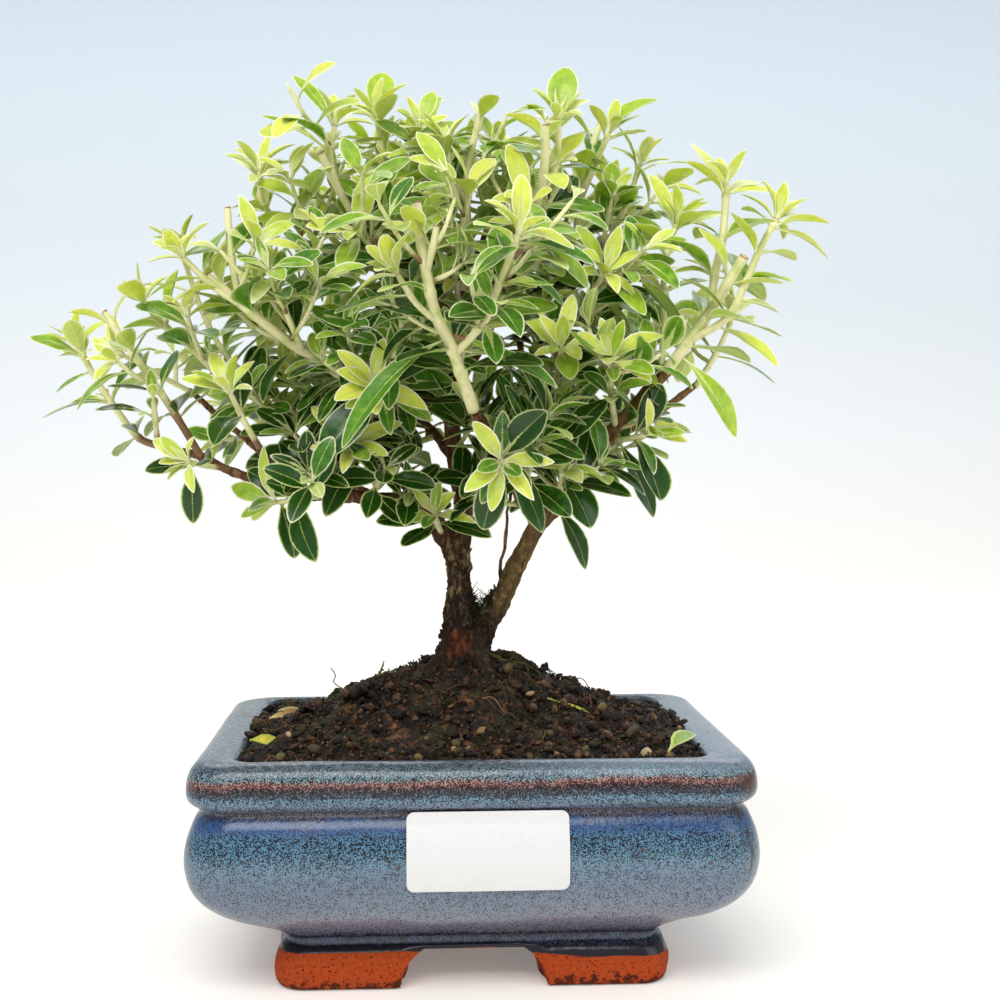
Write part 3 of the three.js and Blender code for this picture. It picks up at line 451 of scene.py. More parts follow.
def glazeBands(m, level):
    # the dark ground, brown where it is thin on an edge
    ground = rampOf(m, level, [
        (0.17, "#0b080d"), (0.195, "#1a1c25"), (0.222, "#14121b"), (0.25, "#30272e"), (0.31, "#40383f"),
        (0.5, "#302e36"), (0.58, "#24242f"), (0.61, "#06080d"), (0.7, "#060a14"), (0.73, "#0c0b2a"),
        (0.77, "#101126"), (0.795, "#3c2826"), (0.825, "#1a1c25"), (0.862, "#10121a"), (0.88, "#04030a"),
        (0.91, "#12070b"), (0.926, "#4c2420"), (0.945, "#0e1419"), (0.965, "#10161c"), (0.985, "#2c3139"),
    ])
    # the milky part, from grey-blue low down to bright blue under the lip
    milk = rampOf(m, level, [
        # the light grey-blue low on the belly is partly the glaze and partly a painted reflection of the
        # white floor
        (0.17, "#2a2c3a"), (0.2, "#4c5c7a"), (0.226, "#343648"), (0.245, "#6a6876"), (0.3, "#86899a"),
        (0.4, "#7f8b9c"), (0.5, "#6f7f92"), (0.58, "#6a879c"), (0.62, "#5b879f"), (0.7, "#4f7b9b"),
        (0.735, "#265086"), (0.765, "#30547f"), (0.79, "#74707c"), (0.84, "#7790a6"), (0.865, "#648aa2"),
        # the light pinkish brown at the ridge under the lip is partly the glaze and partly a painted
        # highlight
        (0.885, "#50647c"), (0.905, "#6c5056"), (0.925, "#ae8074"), (0.95, "#76979f"), (0.975, "#6b8896"),
        (0.99, "#586672"),
    ])
    # how much of the ground the milky part covers, black for none
    cover = rampOf(m, level, [
        (0.17, "#101010"), (0.203, "#9a9a9a"), (0.224, "#404040"), (0.25, "#8a8a8a"), (0.31, "#a0a0a0"),
        (0.5, "#a0a0a0"), (0.58, "#9a9a9a"), (0.62, "#7e7e7e"), (0.7, "#7c7c7c"), (0.735, "#a0a0a0"),
        (0.77, "#909090"), (0.795, "#606060"), (0.825, "#989898"), (0.862, "#848484"), (0.882, "#262626"),
        (0.906, "#282828"), (0.924, "#6a6a6a"), (0.95, "#868686"), (0.975, "#606060"), (0.99, "#808080"),
    ])
    return ground, milk, cover


def bareClay(m, place, up, grain):
    # terracotta, pitted, and darker in patches towards its lower edges
    clay = mix(m, grain, "#8c3210", potValues["terracotta"])
    pit = cellsAt(m, place, 1.8)
    pitted = ease(m, times(m, grain, 0.5, pit), 0.56, 0.42)
    clay = mix(m, times(m, pitted, remap(m, pit.outputs["Color"], 0.4, 0.46)), clay, "#241009")
    darkerLow = maths(m, "ADD", noiseAt(m, place, 0.5, 5, 0.65), remap(m, up, 5, 0.2, -0.14, 0.2))
    return mix(m, ease(m, darkerLow, 0.56, 0.68, 0, 0.85), clay, "#2c130b")


def glazeMarks(m, colour, place, across, up, broad, streak, net):
    # what lies over the bands, first a broad cloudy tone
    colour = mix(m, times(m, remap(m, broad, 0.4, 0.65, 0.0, 0.26), net), colour, "#5b6d80")
    # milky streaks on the flat of the rim, and a painted highlight: the right half of the lip is made a
    # lighter blue
    flat = times(m, remap(m, up, 49.2, 49.9, 0, 0.5), ease(m, streak, 0.48, 0.64, 0, 0.8))
    colour = mix(m, flat, colour, "#9aa4ad")
    right = times(m, remap(m, across, 5, 30, 0, 0.38), remap(m, up, 47, 48.6))
    colour = mix(m, right, colour, "#93a6b8")
    # iron spots
    spots = cellsAt(m, place, 0.22)
    spot = times(m, ease(m, spots, 0.13, 0.07), remap(m, spots.outputs["Color"], 0.5, 0.55))
    colour = mix(m, times(m, spot, 0.8), colour, potValues["breakBrown"])
    # broken brown on the corners of the lip
    thin = ease(m, times(m, streak, pointValue(m, "worn")), 0.3, 0.48, 0, 0.85)
    colour = mix(m, thin, colour, "#3d211b")
    # painted shade: the inner wall of the pot darkened to near black brown
    return mix(m, times(m, pointValue(m, "innerWallShade"), 0.9), colour, "#1f1813")


def glazeMaterial():
    # a milky blue glaze parted into a fine net over dark iron glaze, on terracotta
    m = newMaterial("speckled blue glaze over terracotta")
    place = millimetres(m)
    across, _, up = axesOf(m, place)
    broad = noiseAt(m, place, 0.07, 3)
    streak = noiseAt(m, stretched(m, place, (1, 1, 0.4)), 0.8, 3)
    grain = noiseAt(m, place, 1.4, 4)
    # the bands wander up and down with the flow of the glaze
    height = times(m, maths(m, "SUBTRACT", streak, 0.5), 1.6, up)
    level = maths(m, "DIVIDE", times(m, maths(m, "SUBTRACT", broad, 0.5), 1.8, height), 50)
    ground, milk, cover = glazeBands(m, level)
    # a net finer than half a millimetre: the milk lies between dark holes
    fine = noiseAt(m, place, 3.9, 2)
    cells = cellsAt(m, place, 3.0)
    cover = times(m, maths(m, "SUBTRACT", noiseAt(m, place, 0.8, 2), 0.5), 0.5, cover)
    net = ease(m, times(m, cover, 0.6, times(m, cells, 0.55, fine)), 0.85, 0.98)
    colour = mix(m, net, ground, milk)
    colour = glazeMarks(m, colour, place, across, up, broad, streak, net)
    # the glaze ends in dark drips, lower towards the right
    edge = remap(m, across, 4, 24, 7.5, 5.6)
    above = maths(m, "SUBTRACT", up, times(m, broad, 1.4, edge))
    drip = maths(m, "DIVIDE", above, remap(m, across, 4, 24, 1.5, 2.4))
    colour = mix(m, ease(m, drip, 1.1, 0.6, 0, 0.88), colour, "#15101a")
    glazed = ease(m, above, -0.15, 0.15)
    colour = mix(m, glazed, bareClay(m, place, up, grain), colour)
    gloss = remap(m, glazed, 0, 1, 0.8, 0.24)
    bump = bumpOf(m, mix(m, glazed, grain, streak), 0.25, 0.0003)
    shine = remap(m, glazed, 0, 1, 0.15, 0.5)
    return finished(m, {
        "Base Color": colour, "Roughness": gloss, "IOR": 1.5, "Specular IOR Level": shine, "Normal": bump,
    })


def settle(piece):
    # the piece takes the mesh that its modifiers make
    bpy.context.view_layer.update()
    mesh = bpy.data.meshes.new_from_object(piece.evaluated_get(bpy.context.evaluated_depsgraph_get()))
    piece.modifiers.clear()
    piece.data = mesh
    return mesh


def buildPot(material):
    points, faces = potBody()
    # a worn line down the front right corner, broad at the lip
    fromCorner = np.abs(bodyPlan[:, 2] + bodyPlan[:, 3]) + (bodyPlan[:, 2] < 0.1)
    fromCorner = np.tile(fromCorner, len(points) // len(bodyPlan))
    breadth = np.interp(points[:, 2], [24, 36, 41, 44, 47], [0.2, 0.26, 0.4, 0.8, 1])
    worn = np.clip(1.4 - fromCorner / breadth, 0, 1)
    worn *= np.interp(points[:, 2], [22, 27, 41, 43, 45.5, 46.8, 48.5], [0, 0.9, 0.8, 0.85, 1, 1, 0.2])
    # painted shade: the inner wall below the rim is darkened, as it lies in shadow
    ring = np.arange(len(points)) // len(bodyPlan) - len(potProfile)
    innerWallShade = np.interp(ring, [4, 5, 6], [0, 0.5, 1])
    body = addPiece("potBody", points, faces, [material], values={"worn": worn, "innerWallShade": innerWallShade})
    for x in potValues["drainPlaces"]:
        bpy.ops.mesh.primitive_cylinder_add(
            vertices=48, radius=potValues["drainRadius"] * 0.001, depth=potValues["drainDepth"] * 0.001,
            location=toMetres((x, 0, potValues["floor"] - 2))
        )
        cutter = bpy.context.object
        cut = body.modifiers.new("drain hole", "BOOLEAN")
        cut.operation, cut.object, cut.solver = "DIFFERENCE", cutter, "EXACT"
        settle(body)
        bpy.data.objects.remove(cutter)
    feetPoints, feetFaces = footSkirt()
    bare = np.zeros(len(feetPoints))
    feet = addPiece("feet", feetPoints, feetFaces, [material], values={"worn": bare, "innerWallShade": bare})
    return body, feet


glaze = glazeMaterial()
body, feet = buildPot(glaze)
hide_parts("pot")
print("pot is built")


# ---- where stems and leaves grow ----

# each route runs through its points; the two numbers after it are the radii at its ends
woodRoutes = [
    # left trunk, from the soil to the crown
    ([[-1, 0, 52], [-1, 0, 66], [-2, 0, 76], [-2, 0, 84]], [6.5, 2.7]),
    ([[-2, 0, 82], [-2, 0, 90], [-1, 1, 101], [-3, 2, 113], [-4, 3, 128], [-3, 4, 141], [-1, 4, 152]],
     [2.9, 1.3]),
    # right trunk
    ([[1, 0, 60], [3, -2, 72], [7, -3, 79], [11, -5, 88], [16, -7, 98]], [3.4, 2]),
    # surface roots and the roots in the soil
    ([[2, -1, 64], [7, -3, 67], [12, -4, 66], [16, -5, 63], [18, -6, 56]], [1.2, 0.6]),
    ([[-3, -2, 66], [-8, -6, 65], [-12, -9, 60], [-15, -11, 54]], [1.8, 0.7]),
    ([[1, -3, 62], [4, -8, 58], [8, -13, 53], [13, -18, 47]], [2, 0.8]),
    ([[-1, 0, 58], [-2, 4, 46], [-10, 10, 34], [-22, 14, 26]], [3.6, 0.9]),
    ([[0, 0, 56], [5, -2, 44], [16, -8, 34], [30, -12, 27]], [3.4, 0.9]),
    # low left limb and its branches
    ([[-2, 0, 87], [-6, -1, 95], [-9, -2, 101], [-13, -2, 104]], [2.3, 1.8]),
    ([[-12, -2, 104], [-19, -5, 103], [-26, -8, 104], [-33, -10, 104.5], [-38, -12, 104.5]],
     [1.8, 1.3]),
    ([[-36, -12, 104.5], [-45, -12, 107], [-54, -11, 110], [-60, -10, 113], [-68, -9, 115]],
     [1.2, 0.9]),
    ([[-36, -12, 104], [-42, -14, 108], [-47, -17, 115]], [1.1, 0.8]),
    ([[-12, -2, 104], [-21, 0, 111], [-28, 2, 117], [-35, 5, 124]], [1.1, 0.8]),
    ([[-28, -9, 104], [-34, -8, 112], [-40, -7, 118], [-46, -6, 125]], [1.2, 0.9]),
    ([[-20, 0, 110.5], [-26, 6, 119], [-31, 10, 127], [-40, 13, 135]], [0.9, 0.7]),
    ([[-41, -12, 107.5], [-49, 0, 115], [-57, 8, 121], [-66, 10, 129]], [1, 0.7]),
    ([[-20, -5, 103], [-27, 7, 106], [-36, 19, 112], [-45, 27, 119]], [1.2, 0.8]),
    # upper left branch
    ([[-4, 2, 122], [-11, -4, 126], [-21, -10, 129], [-29, -14, 133]], [1.5, 1.2]),
    ([[-3, 4, 139], [-9, 3, 149], [-16, 1, 156], [-21, -2, 160]], [1.4, 1]),
    ([[-3, 4, 142], [-8, 4, 152], [-12, 3, 160]], [1, 0.8]),
    # right branches
    ([[15, -6.5, 96], [18, -4, 105], [20, -1, 113], [21, 2, 128], [24, 4, 145], [25, 5, 156]],
     [1.6, 1]),
    ([[15, -6.5, 96], [22, -9, 104], [27, -10, 112], [35, -12, 122], [45, -14, 133]],
     [1.7, 1.4]),
    ([[20, -1, 112], [15, 7, 120], [14, 10, 128], [13, 12, 141], [12, 11, 152]], [1, 0.8]),
    ([[15, -7, 98], [9, -18, 108], [4, -26, 117], [0, -32, 123]], [1.4, 1.3]),
    ([[28, -10.5, 114], [37, -2, 119], [48, 8, 125], [57, 14, 131]], [1.2, 0.8]),
    # branches behind the trunks
    ([[-3, 2, 112], [-8, 14, 119], [-15, 26, 126], [-22, 35, 133]], [1.3, 0.8]),
    ([[-4, 3, 127], [1, 16, 135], [6, 29, 143], [8, 38, 150]], [1.3, 0.8]),
    ([[21, 1, 122], [28, 12, 129], [36, 23, 136], [42, 31, 143]], [1.2, 0.8]),
    ([[-3, 4, 141], [-10, 13, 149], [-17, 22, 157], [-22, 28, 164]], [1.1, 0.8]),
    ([[24.5, 5, 152], [28, 13, 160], [31, 21, 167]], [0.9, 0.7]),
    ([[-1, 4, 149], [2, 12, 159], [5, 19, 168]], [1, 0.7]),
    # thin dead twigs
    ([[7.5, -4, 80], [7.4, -6.5, 87], [8.4, -7.5, 96], [9.4, -8, 105]], [0.45, 0.3]),
    ([[-8, -2, 99], [-11, -7, 104], [-14, -8, 109], [-17, -9, 114]], [0.5, 0.35]),
]

# each spray: its name, its stems (route, radii, leaf length, True if cut back), and single large leaves
sprayPlans = [
    ("far_left", [
        [[[-67, -9, 115], [-74, -8, 117], [-79, -8, 123], [-83, -8, 129], [-88, -8, 138]], [0.9, 0.7], 12],
        [[[-70, -9, 115.5], [-70, -12, 120], [-70, -15, 126]], [0.7, 0.6], 10],
    ], [[-88, -8, 138, -96, -10, 142, 5], [-86, -8, 132, -93, -9, 129, 3.5]]),
    ("low_far_left", [
        [[[-55, -11, 110.5], [-58, -15, 111], [-62, -18, 112]], [0.7, 0.6], 11],
    ], [[-62, -18, 112, -61, -19, 99, 5]]),
    ("left_pruned", [
        [[[-60, -10, 112.5], [-66, -12, 123], [-70, -12, 129], [-77, -12, 139], [-81, -12, 145]],
            [0.9, 0.8], 11, True],
        [[[-70, -12, 129], [-74, -16, 131], [-77, -19, 134]], [0.6, 0.5], 10],
    ], []),
    ("left", [
        [[[-46, -6, 125], [-55, -7, 130], [-63, -8, 138], [-69, -9, 143], [-73, -10, 148]], [0.9, 0.7], 12],
        [[[-60, -8, 135], [-61, -14, 139], [-62, -18, 144]], [0.6, 0.5], 11],
    ], []),
    ("upper_far_left", [
        [[[-41, -7, 119.5], [-49, -1, 129], [-57, 1, 138], [-62, 1, 148], [-66, -1, 161]], [0.8, 0.6], 12],
    ], []),
    ("upper_left", [
        [[[-29, -14, 133], [-38, -17, 137], [-46, -20, 143], [-51, -21, 147], [-57, -22, 152]],
            [1.2, 1], 14, True],
        [[[-50, -21, 146], [-56, -23, 150], [-62, -25, 156]], [0.8, 0.6], 11],
        [[[-50, -21, 146], [-52, -20, 156], [-53, -19, 167]], [0.9, 0.8], 11, True],
        [[[-37, -17, 136.5], [-40, -22, 144], [-42, -26, 151]], [0.8, 0.6], 12],
    ], []),
    ("upper_left_tip", [
        [[[-19, -1, 159], [-30, 0, 160], [-40, 1, 164], [-47, 0, 171], [-48, -1, 179]], [0.8, 0.6], 12],
    ], []),
    ("left_inner", [
        [[[-34, 4.5, 123], [-38, -1, 127], [-41, -4, 132]], [0.7, 0.6], 13],
    ], []),
    ("left_middle", [
        [[[-46, -16, 114], [-49, -21, 120], [-52, -25, 127]], [0.8, 0.6], 13],
    ], []),
    ("left_back", [
        [[[-65, 10, 128], [-74, 9, 133], [-81, 7, 137]], [0.7, 0.6], 12],
        [[[-69, 9.7, 130], [-70, 16, 133], [-71, 23, 138]], [0.6, 0.5], 12],
    ], []),
    ("left_top_back", [
        [[[-39, 13, 134], [-46, 15, 142], [-52, 18, 151]], [0.7, 0.6], 12],
        [[[-43, 14, 138], [-44, 22, 141], [-46, 29, 146]], [0.6, 0.5], 12],
    ], []),
    ("low_left", [
        [[[-30, -9.5, 104.5], [-36, -16, 104], [-43, -19, 103]], [0.7, 0.6], 13],
    ], [[-42, -19, 103, -38, -21, 92, 6]]),
    ("low_left_back", [
        [[[-44, 26, 118], [-52, 32, 122], [-60, 36, 127]], [0.8, 0.6], 12],
        [[[-48, 29.5, 120], [-54, 26, 118], [-60, 24, 117]], [0.7, 0.5], 12],
    ], []),
    ("low_middle_left", [
        [[[-6, -1, 95], [-7, -8, 97], [-8, -14, 100]], [0.7, 0.6], 12],
    ], [[-7, -9, 98, -15, -14, 95, 6]]),
    ("middle_left", [
        [[[-18, -8.5, 128], [-19, -18, 127], [-21, -27, 128]], [0.8, 0.6], 15],
    ], []),
    ("middle_left_low", [
        [[[-22, 0, 112], [-24, -9, 113], [-26, -18, 115]], [0.7, 0.6], 14],
    ], []),
    ("front", [
        [[[0, -32, 123], [-3, -38, 131], [-5, -41, 136], [-8, -44, 142], [-10, -46, 150], [-12, -46, 164]],
            [1.4, 1.1], 14, True],
        [[[-10, -46, 150], [-9, -48, 154], [-8, -49, 159]], [0.8, 0.7], 10, True],
        [[[-7, -43, 140], [-12, -46, 144], [-16, -47, 150]], [0.7, 0.6], 13],
        [[[-4, -40, 134.5], [1, -44, 140], [5, -50, 149], [8, -56, 157]], [0.9, 0.7], 13],
    ], [
        [-6, -42, 137, -29, -52, 126, 6], [-4, -40, 135, 15, -47, 135, 5], [8, -56, 157, 22, -60, 154, 5],
    ]),
    ("low_front", [
        [[[5, -24, 115], [6, -28, 113], [6, -32, 112]], [0.8, 0.7], 14],
    ], [[6, -30, 112.5, 17, -34, 101, 9]]),
    ("low_right", [
        [[[19, -8, 101], [20, -15, 105], [20, -21, 110]], [0.8, 0.6], 13],
    ], [[20, -20, 109, 27, -25, 100, 9], [19, -10, 102, 29, -13, 91, 6]]),
    ("right_low", [
        [[[31, -11, 117], [35, -16, 117], [39, -20, 118]], [0.7, 0.6], 13],
    ], [[33, -14, 117, 43, -16, 101, 8]]),
    ("right_pruned", [
        [[[44, -14, 132], [49, -15, 139], [54, -16, 146], [60, -22, 157]], [1.3, 1.1], 14, True],
        [[[54, -16, 146], [55, -15, 154], [57, -14, 163], [58, -13, 175]], [1, 0.8], 13],
        [[[49, -15, 139], [57, -19, 144], [61, -20, 152], [64, -20, 159], [68, -19, 166]], [0.9, 0.7], 12],
    ], [
        [47, -14.5, 136, 62, -19, 121, 7], [58, -13, 174, 53, -16, 184, 7], [58, -13, 174, 69, -14, 176, 5],
        [68, -19, 166, 81, -19, 162, 4.5], [60, -19, 148, 68, -21, 147, 5], [55, -18, 142.5, 68, -24, 136, 5],
    ]),
    ("right_upright", [
        [[[43, -13.5, 131], [44, -12, 142], [44, -11, 151], [45, -11, 160], [47, -12, 166]], [0.8, 0.6], 12],
    ], [[47, -12, 166, 43, -13, 177, 4], [47, -12, 166, 56, -13, 170, 6]]),
    ("right_inner", [
        [[[33, -12, 120], [31, -20, 127], [30, -27, 134]], [0.8, 0.6], 14],
    ], []),
    ("right_back", [
        [[[56, 13, 130], [62, 15, 139], [66, 15, 148]], [0.8, 0.6], 12],
        [[[60, 14.5, 136], [58, 22, 139], [57, 29, 144]], [0.6, 0.5], 12],
    ], []),
    ("right_top_back", [
        [[[41, 30, 142], [45, 34, 151], [48, 36, 160]], [0.8, 0.6], 12],
        [[[43, 32, 147], [40, 38, 148], [37, 44, 151]], [0.6, 0.5], 12],
    ], []),
    ("middle_right", [
        [[[21, 2, 128], [20, -9, 132], [20, -20, 137]], [0.8, 0.6], 14],
    ], []),
    ("upper_right_front", [
        [[[24, 4, 144], [27, -7, 149], [30, -17, 154]], [0.8, 0.6], 13],
    ], []),
    ("upper_middle_front", [
        [[[-2, 4, 149], [-3, -4, 155], [-2, -14, 163], [0, -20, 172]], [0.8, 0.6], 13],
    ], []),
    ("upper_front_left", [
        [[[-14, 1.5, 155], [-20, -11, 158], [-25, -22, 162]], [0.8, 0.6], 13],
    ], []),
    ("upper_middle_right", [
        [[[12.6, 11.5, 145], [12, -1, 153], [11, -12, 164], [12, -22, 168]], [0.9, 0.6], 13],
    ], []),
    ("top_left_pruned", [
        [[[-20, -1.5, 159.5], [-24, -5, 164], [-27, -9, 169], [-30, -12, 174], [-33, -15, 180]],
            [1, 0.9], 12, True],
        [[[-29, -11, 172], [-31, -12, 179], [-30, -13, 187]], [0.8, 0.6], 12],
    ], [[-30, -13, 187, -36, -14, 199, 4], [-31, -12, 181, -44, -14, 191, 3.5]]),
    ("top_left", [
        [[[-12, 3, 159], [-16, 3, 169], [-19, 2, 180], [-21, 0, 192]], [0.9, 0.7], 13],
    ], [[-21, 0, 191, -20, 1, 203, 7]]),
    ("top_middle", [
        [[[-10.5, 3.5, 157], [-11, 8, 166], [-12, 9, 176], [-13, 7, 186]], [0.9, 0.7], 13],
    ], [[-13, 7, 186, -9, 6, 199, 6]]),
    ("top_pruned", [
        [[[-1, 4, 151], [0, 3, 166], [0, 1, 180], [4, 0, 196]], [1, 0.8], 12, True],
        [[[0, 2, 172], [-4, -3, 178], [-5, -6, 185]], [0.7, 0.5], 11],
    ], []),
    ("top_right_pruned", [
        [[[12, 11, 151], [15, 0, 161], [15, -10, 168], [16, -20, 176], [16, -23, 185]], [1.1, 1], 13, True],
        [[[15, -13, 170], [19, -18, 178], [19, -22, 187]], [0.8, 0.6], 11],
    ], [[19, -22, 186, 20, -23, 198, 7]]),
    ("top_right", [
        [[[25, 5, 155], [26, 3, 168], [27, 0, 179], [31, 0, 191]], [1, 0.8], 13, True],
        [[[26, 2, 172], [29, -5, 180], [32, -9, 187]], [0.8, 0.6], 11],
    ], [[32, -9, 187, 38, -12, 196, 8]]),
    ("right_of_top", [
        [[[25, 5, 153], [32, 1, 162], [37, -1, 172], [40, -2, 181]], [0.8, 0.6], 12],
    ], []),
    ("back_low", [
        [[[-21, 34, 132], [-26, 42, 134], [-31, 49, 139]], [0.8, 0.6], 13],
        [[[-23, 37.5, 133], [-18, 43, 132], [-12, 48, 133]], [0.7, 0.5], 13],
    ], []),
    ("back_left", [
        [[[-21, 27, 163], [-28, 33, 167], [-35, 37, 173]], [0.8, 0.6], 12],
        [[[-24.5, 30, 165], [-29, 35, 160], [-33, 40, 157]], [0.7, 0.5], 12],
    ], []),
    ("back_middle", [
        [[[8, 37, 149], [10, 45, 154], [10, 51, 161]], [0.8, 0.6], 13],
        [[[9, 41, 151.5], [3, 46, 151], [-4, 49, 153]], [0.7, 0.5], 13],
    ], []),
    ("back_right", [
        [[[30, 20, 166], [34, 26, 173], [37, 30, 181]], [0.8, 0.6], 12],
        [[[32, 23, 169.5], [27, 31, 169], [22, 38, 171]], [0.7, 0.5], 12],
    ], []),
    ("back_top", [
        [[[5, 18, 167], [7, 21, 177], [8, 22, 188]], [0.8, 0.6], 12],
        [[[6, 20, 172], [-1, 25, 176], [-7, 28, 182]], [0.7, 0.5], 12],
    ], []),
    ("right_low_back", [
        [[[20, -1, 114], [25, 9, 114], [32, 18, 117], [38, 25, 121]], [0.8, 0.6], 13],
    ], []),
    ("left_low_middle_back", [
        [[[-7, 12, 118], [-15, 16, 116], [-24, 20, 118], [-31, 30, 122]], [0.8, 0.6], 13],
    ], []),
]


def plus(a, b, times=1.0):
    return (a[0] + b[0] * times, a[1] + b[1] * times, a[2] + b[2] * times)


def dot(a, b):
    return a[0] * b[0] + a[1] * b[1] + a[2] * b[2]


def cross(a, b):
    return (a[1] * b[2] - a[2] * b[1], a[2] * b[0] - a[0] * b[2], a[0] * b[1] - a[1] * b[0])


def unit(a):
    size = math.sqrt(dot(a, a)) or 1.0
    return (a[0] / size, a[1] / size, a[2] / size)


def pointAt(route, t):
    # a smooth curve through the route's points
    last = len(route) - 1
    place = last * t
    i = min(int(math.floor(place)), last)
    w = place - i
    if w == 0 and i == last:
        i, w = last - 1, 1.0
    b, c = route[i], route[i + 1]
    a = route[i - 1] if i > 0 else plus(plus(b, b), c, -1)
    d = route[i + 2] if i + 2 <= last else plus(plus(c, c), b, -1)
    out = []
    for k in range(3):
        t0, t1 = 0.5 * (c[k] - a[k]), 0.5 * (d[k] - b[k])
        square, cube = -3 * b[k] + 3 * c[k] - 2 * t0 - t1, 2 * b[k] - 2 * c[k] + t0 + t1
        out.append(b[k] + t0 * w + square * w * w + cube * w * w * w)
    return tuple(out)


def tangentAt(route, t):
    return unit(plus(pointAt(route, min(t + 0.02, 1)), pointAt(route, max(t - 0.02, 0)), -1))


def routeLength(route):
    stations = [pointAt(route, i / 20) for i in range(21)]
    return sum(math.dist(a, b) for a, b in zip(stations, stations[1:]))


def seededRandom(seed):
    # repeatable numbers from 0 to 1, the same that placed the leaves of the frame
    state = [seed]
    whole = 0xFFFFFFFF

    def draw():
        state[0] = (state[0] + 0x6D2B79F5) & whole
        t = state[0]
        t = ((t ^ (t >> 15)) * (t | 1)) & whole
        mixed = ((t ^ (t >> 7)) * (t | 61)) & whole
        t ^= (t + mixed) & whole
        return ((t ^ (t >> 14)) & whole) / 4294967296

    return draw


growthValues = {
    "pairStep": 7.8, "firstPair": 9, "stub": 5, "lastPair": 2.6, "tipPair": 0.9,  # mm along a stem
    "rootOffset": 0.45,
    "leafRoom": 2, "ownRoom": 0.9,  # mm kept clear round the large leaves
    "smallRoom": 0.55, "smallOwnRoom": 0.45,  # and round the small ones that fill the crown
    "cell": 4,
    "tufts": 0.6,  # share of the leaf pairs with young leaves in their axils
    "innerSprigs": 185, "sprigRoom": 1.6,  # how many, and mm kept clear at their tips
    "reach": 1.5,  # mm that small leaves may stand out of the crown's outline
    "openStem": 3.2,  # mm kept free in front of the stems that were cut back
}

Leaf = namedtuple("Leaf", "root dir up side length width arch age young")
taken = {}  # points of stems and leaves, listed under each cell near them


def halfWidth(leaf, u):
    return leaf.width / 2 * math.sin(math.pi * min(u, 1) ** 1.25) ** 0.95 if 0 < u < 1 else 0.0


def leafPoint(leaf, u, v):
    half = halfWidth(leaf, u)
    point = plus(leaf.root, leaf.dir, leaf.length * u)
    point = plus(point, leaf.up, 0.22 * abs(v) * half - leaf.arch * leaf.length * u * u)
    return plus(point, leaf.side, v * half)


def makeLeaf(root, along, face, length, width, arch, age=0.5, young=0.0):
    way = unit(along)
    up = unit(plus(face, way, -dot(face, way)))
    return Leaf(root, way, up, cross(way, up), length, width, arch, age, young)


def cellOf(point):
    size = growthValues["cell"]
    return math.floor(point[0] / size), math.floor(point[1] / size), math.floor(point[2] / size)


def take(point, radius, owner, near):
    i, j, k = cellOf(point)
    entry = (*point, radius, owner, near)
    for x in (i - 1, i, i + 1):
        for y in (j - 1, j, j + 1):
            for z in (k - 1, k, k + 1):
                taken.setdefault((x, y, z), []).append(entry)


def takeStem(route, radii, owner):
    count = math.ceil(routeLength(route) / 1.5)
    for i in range(count + 1):
        t = i / count
        take(pointAt(route, t), radii[0] + (radii[1] - radii[0]) * t, owner, True)


def leafSamples(leaf):
    for i in range(1, 9):
        u = 0.04 + 0.12 * i
        for v in (-0.9, 0, 0.9):
            yield leafPoint(leaf, u, v), u < 0.45


def takeLeaf(leaf, owner):
    for point, near in leafSamples(leaf):
        take(point, 0.0, owner, near)


def isClear(leaf, owner, room, ownRoom):
    for point, near in leafSamples(leaf):
        px, py, pz = point
        for x, y, z, radius, other, otherNear in taken.get(cellOf(point), ()):
            if other == owner:
                if near or otherNear:
                    continue
                limit = ownRoom + radius
            else:
                limit = room + radius
            if (px - x) ** 2 + (py - y) ** 2 + (pz - z) ** 2 < limit * limit:
                return False
    return True


# turns tried in order until a leaf is clear: round the stem, away from the stem, and a smaller size
tries = [
    (0, 0, 1), (0.4, 0, 1), (-0.4, 0, 1), (0, -0.3, 0.95), (0, 0.3, 0.9), (0.8, 0, 0.9), (-0.8, 0, 0.9),
    (0.4, -0.4, 0.8), (-0.4, -0.4, 0.8), (0, -0.5, 0.7),
]


def leafAt(route, t, azimuth, spread, length, width, arch, age=0.5, young=0.0, toFront=0.1):
    along = tangentAt(route, t)
    sideways = unit(cross(along, (0, 0, 1) if abs(along[2]) < 0.95 else (1, 0, 0)))
    upward = cross(along, sideways)
    zero = (0.0, 0.0, 0.0)
    out = plus(plus(zero, sideways, math.cos(azimuth)), upward, math.sin(azimuth))
    way = plus(plus(zero, along, math.cos(spread)), out, math.sin(spread))
    inner = plus(plus(zero, along, math.sin(spread)), out, -math.cos(spread))
    face = plus(plus(plus(zero, inner, 0.6), (0, 0, 1), 0.6), (0, -1, 0), toFront)
    root = plus(pointAt(route, t), way, growthValues["rootOffset"])
    return makeLeaf(root, way, face, length, width, arch, age, young)


def clearLeaf(
    route, t, azimuth, spread, length, width, arch, owner, age, room, ownRoom, young=0.0, toFront=0.1
):
    for turn, lean, size in tries:
        leaf = leafAt(
            route, t, azimuth + turn, spread + lean, length * size, width * size, arch, age, young, toFront
        )
        if isClear(leaf, owner, room, ownRoom):
            takeLeaf(leaf, owner)
            return [leaf]
    return []


def leafAge(height, share):
    # old and dark low down and near the branches, young and bright at the tips
    return min(1.0, max(0.0, 1.26 - 0.62 * share - 0.68 * min(1, max(0, (height - 100) / 80))))


def outerAge(x, z):
    # the shoots at both ends of the crown are paler
    return 0.28 * min(1, max(0, (abs(x) - 36) / 22)) * min(1, max(0, (z - 122) / 14))


def pairPlaces(length, cutBack):
    values = growthValues
    first = min(0.6, values["firstPair"] / length)
    last = 1 - (values["stub"] if cutBack else values["lastPair"]) / length
    pairs = max(1, math.floor((last - first) * length / values["pairStep"] + 1.0))
    return [first + (last - first) * (k / (pairs - 1) if pairs > 1 else 0.3) for k in range(pairs)]


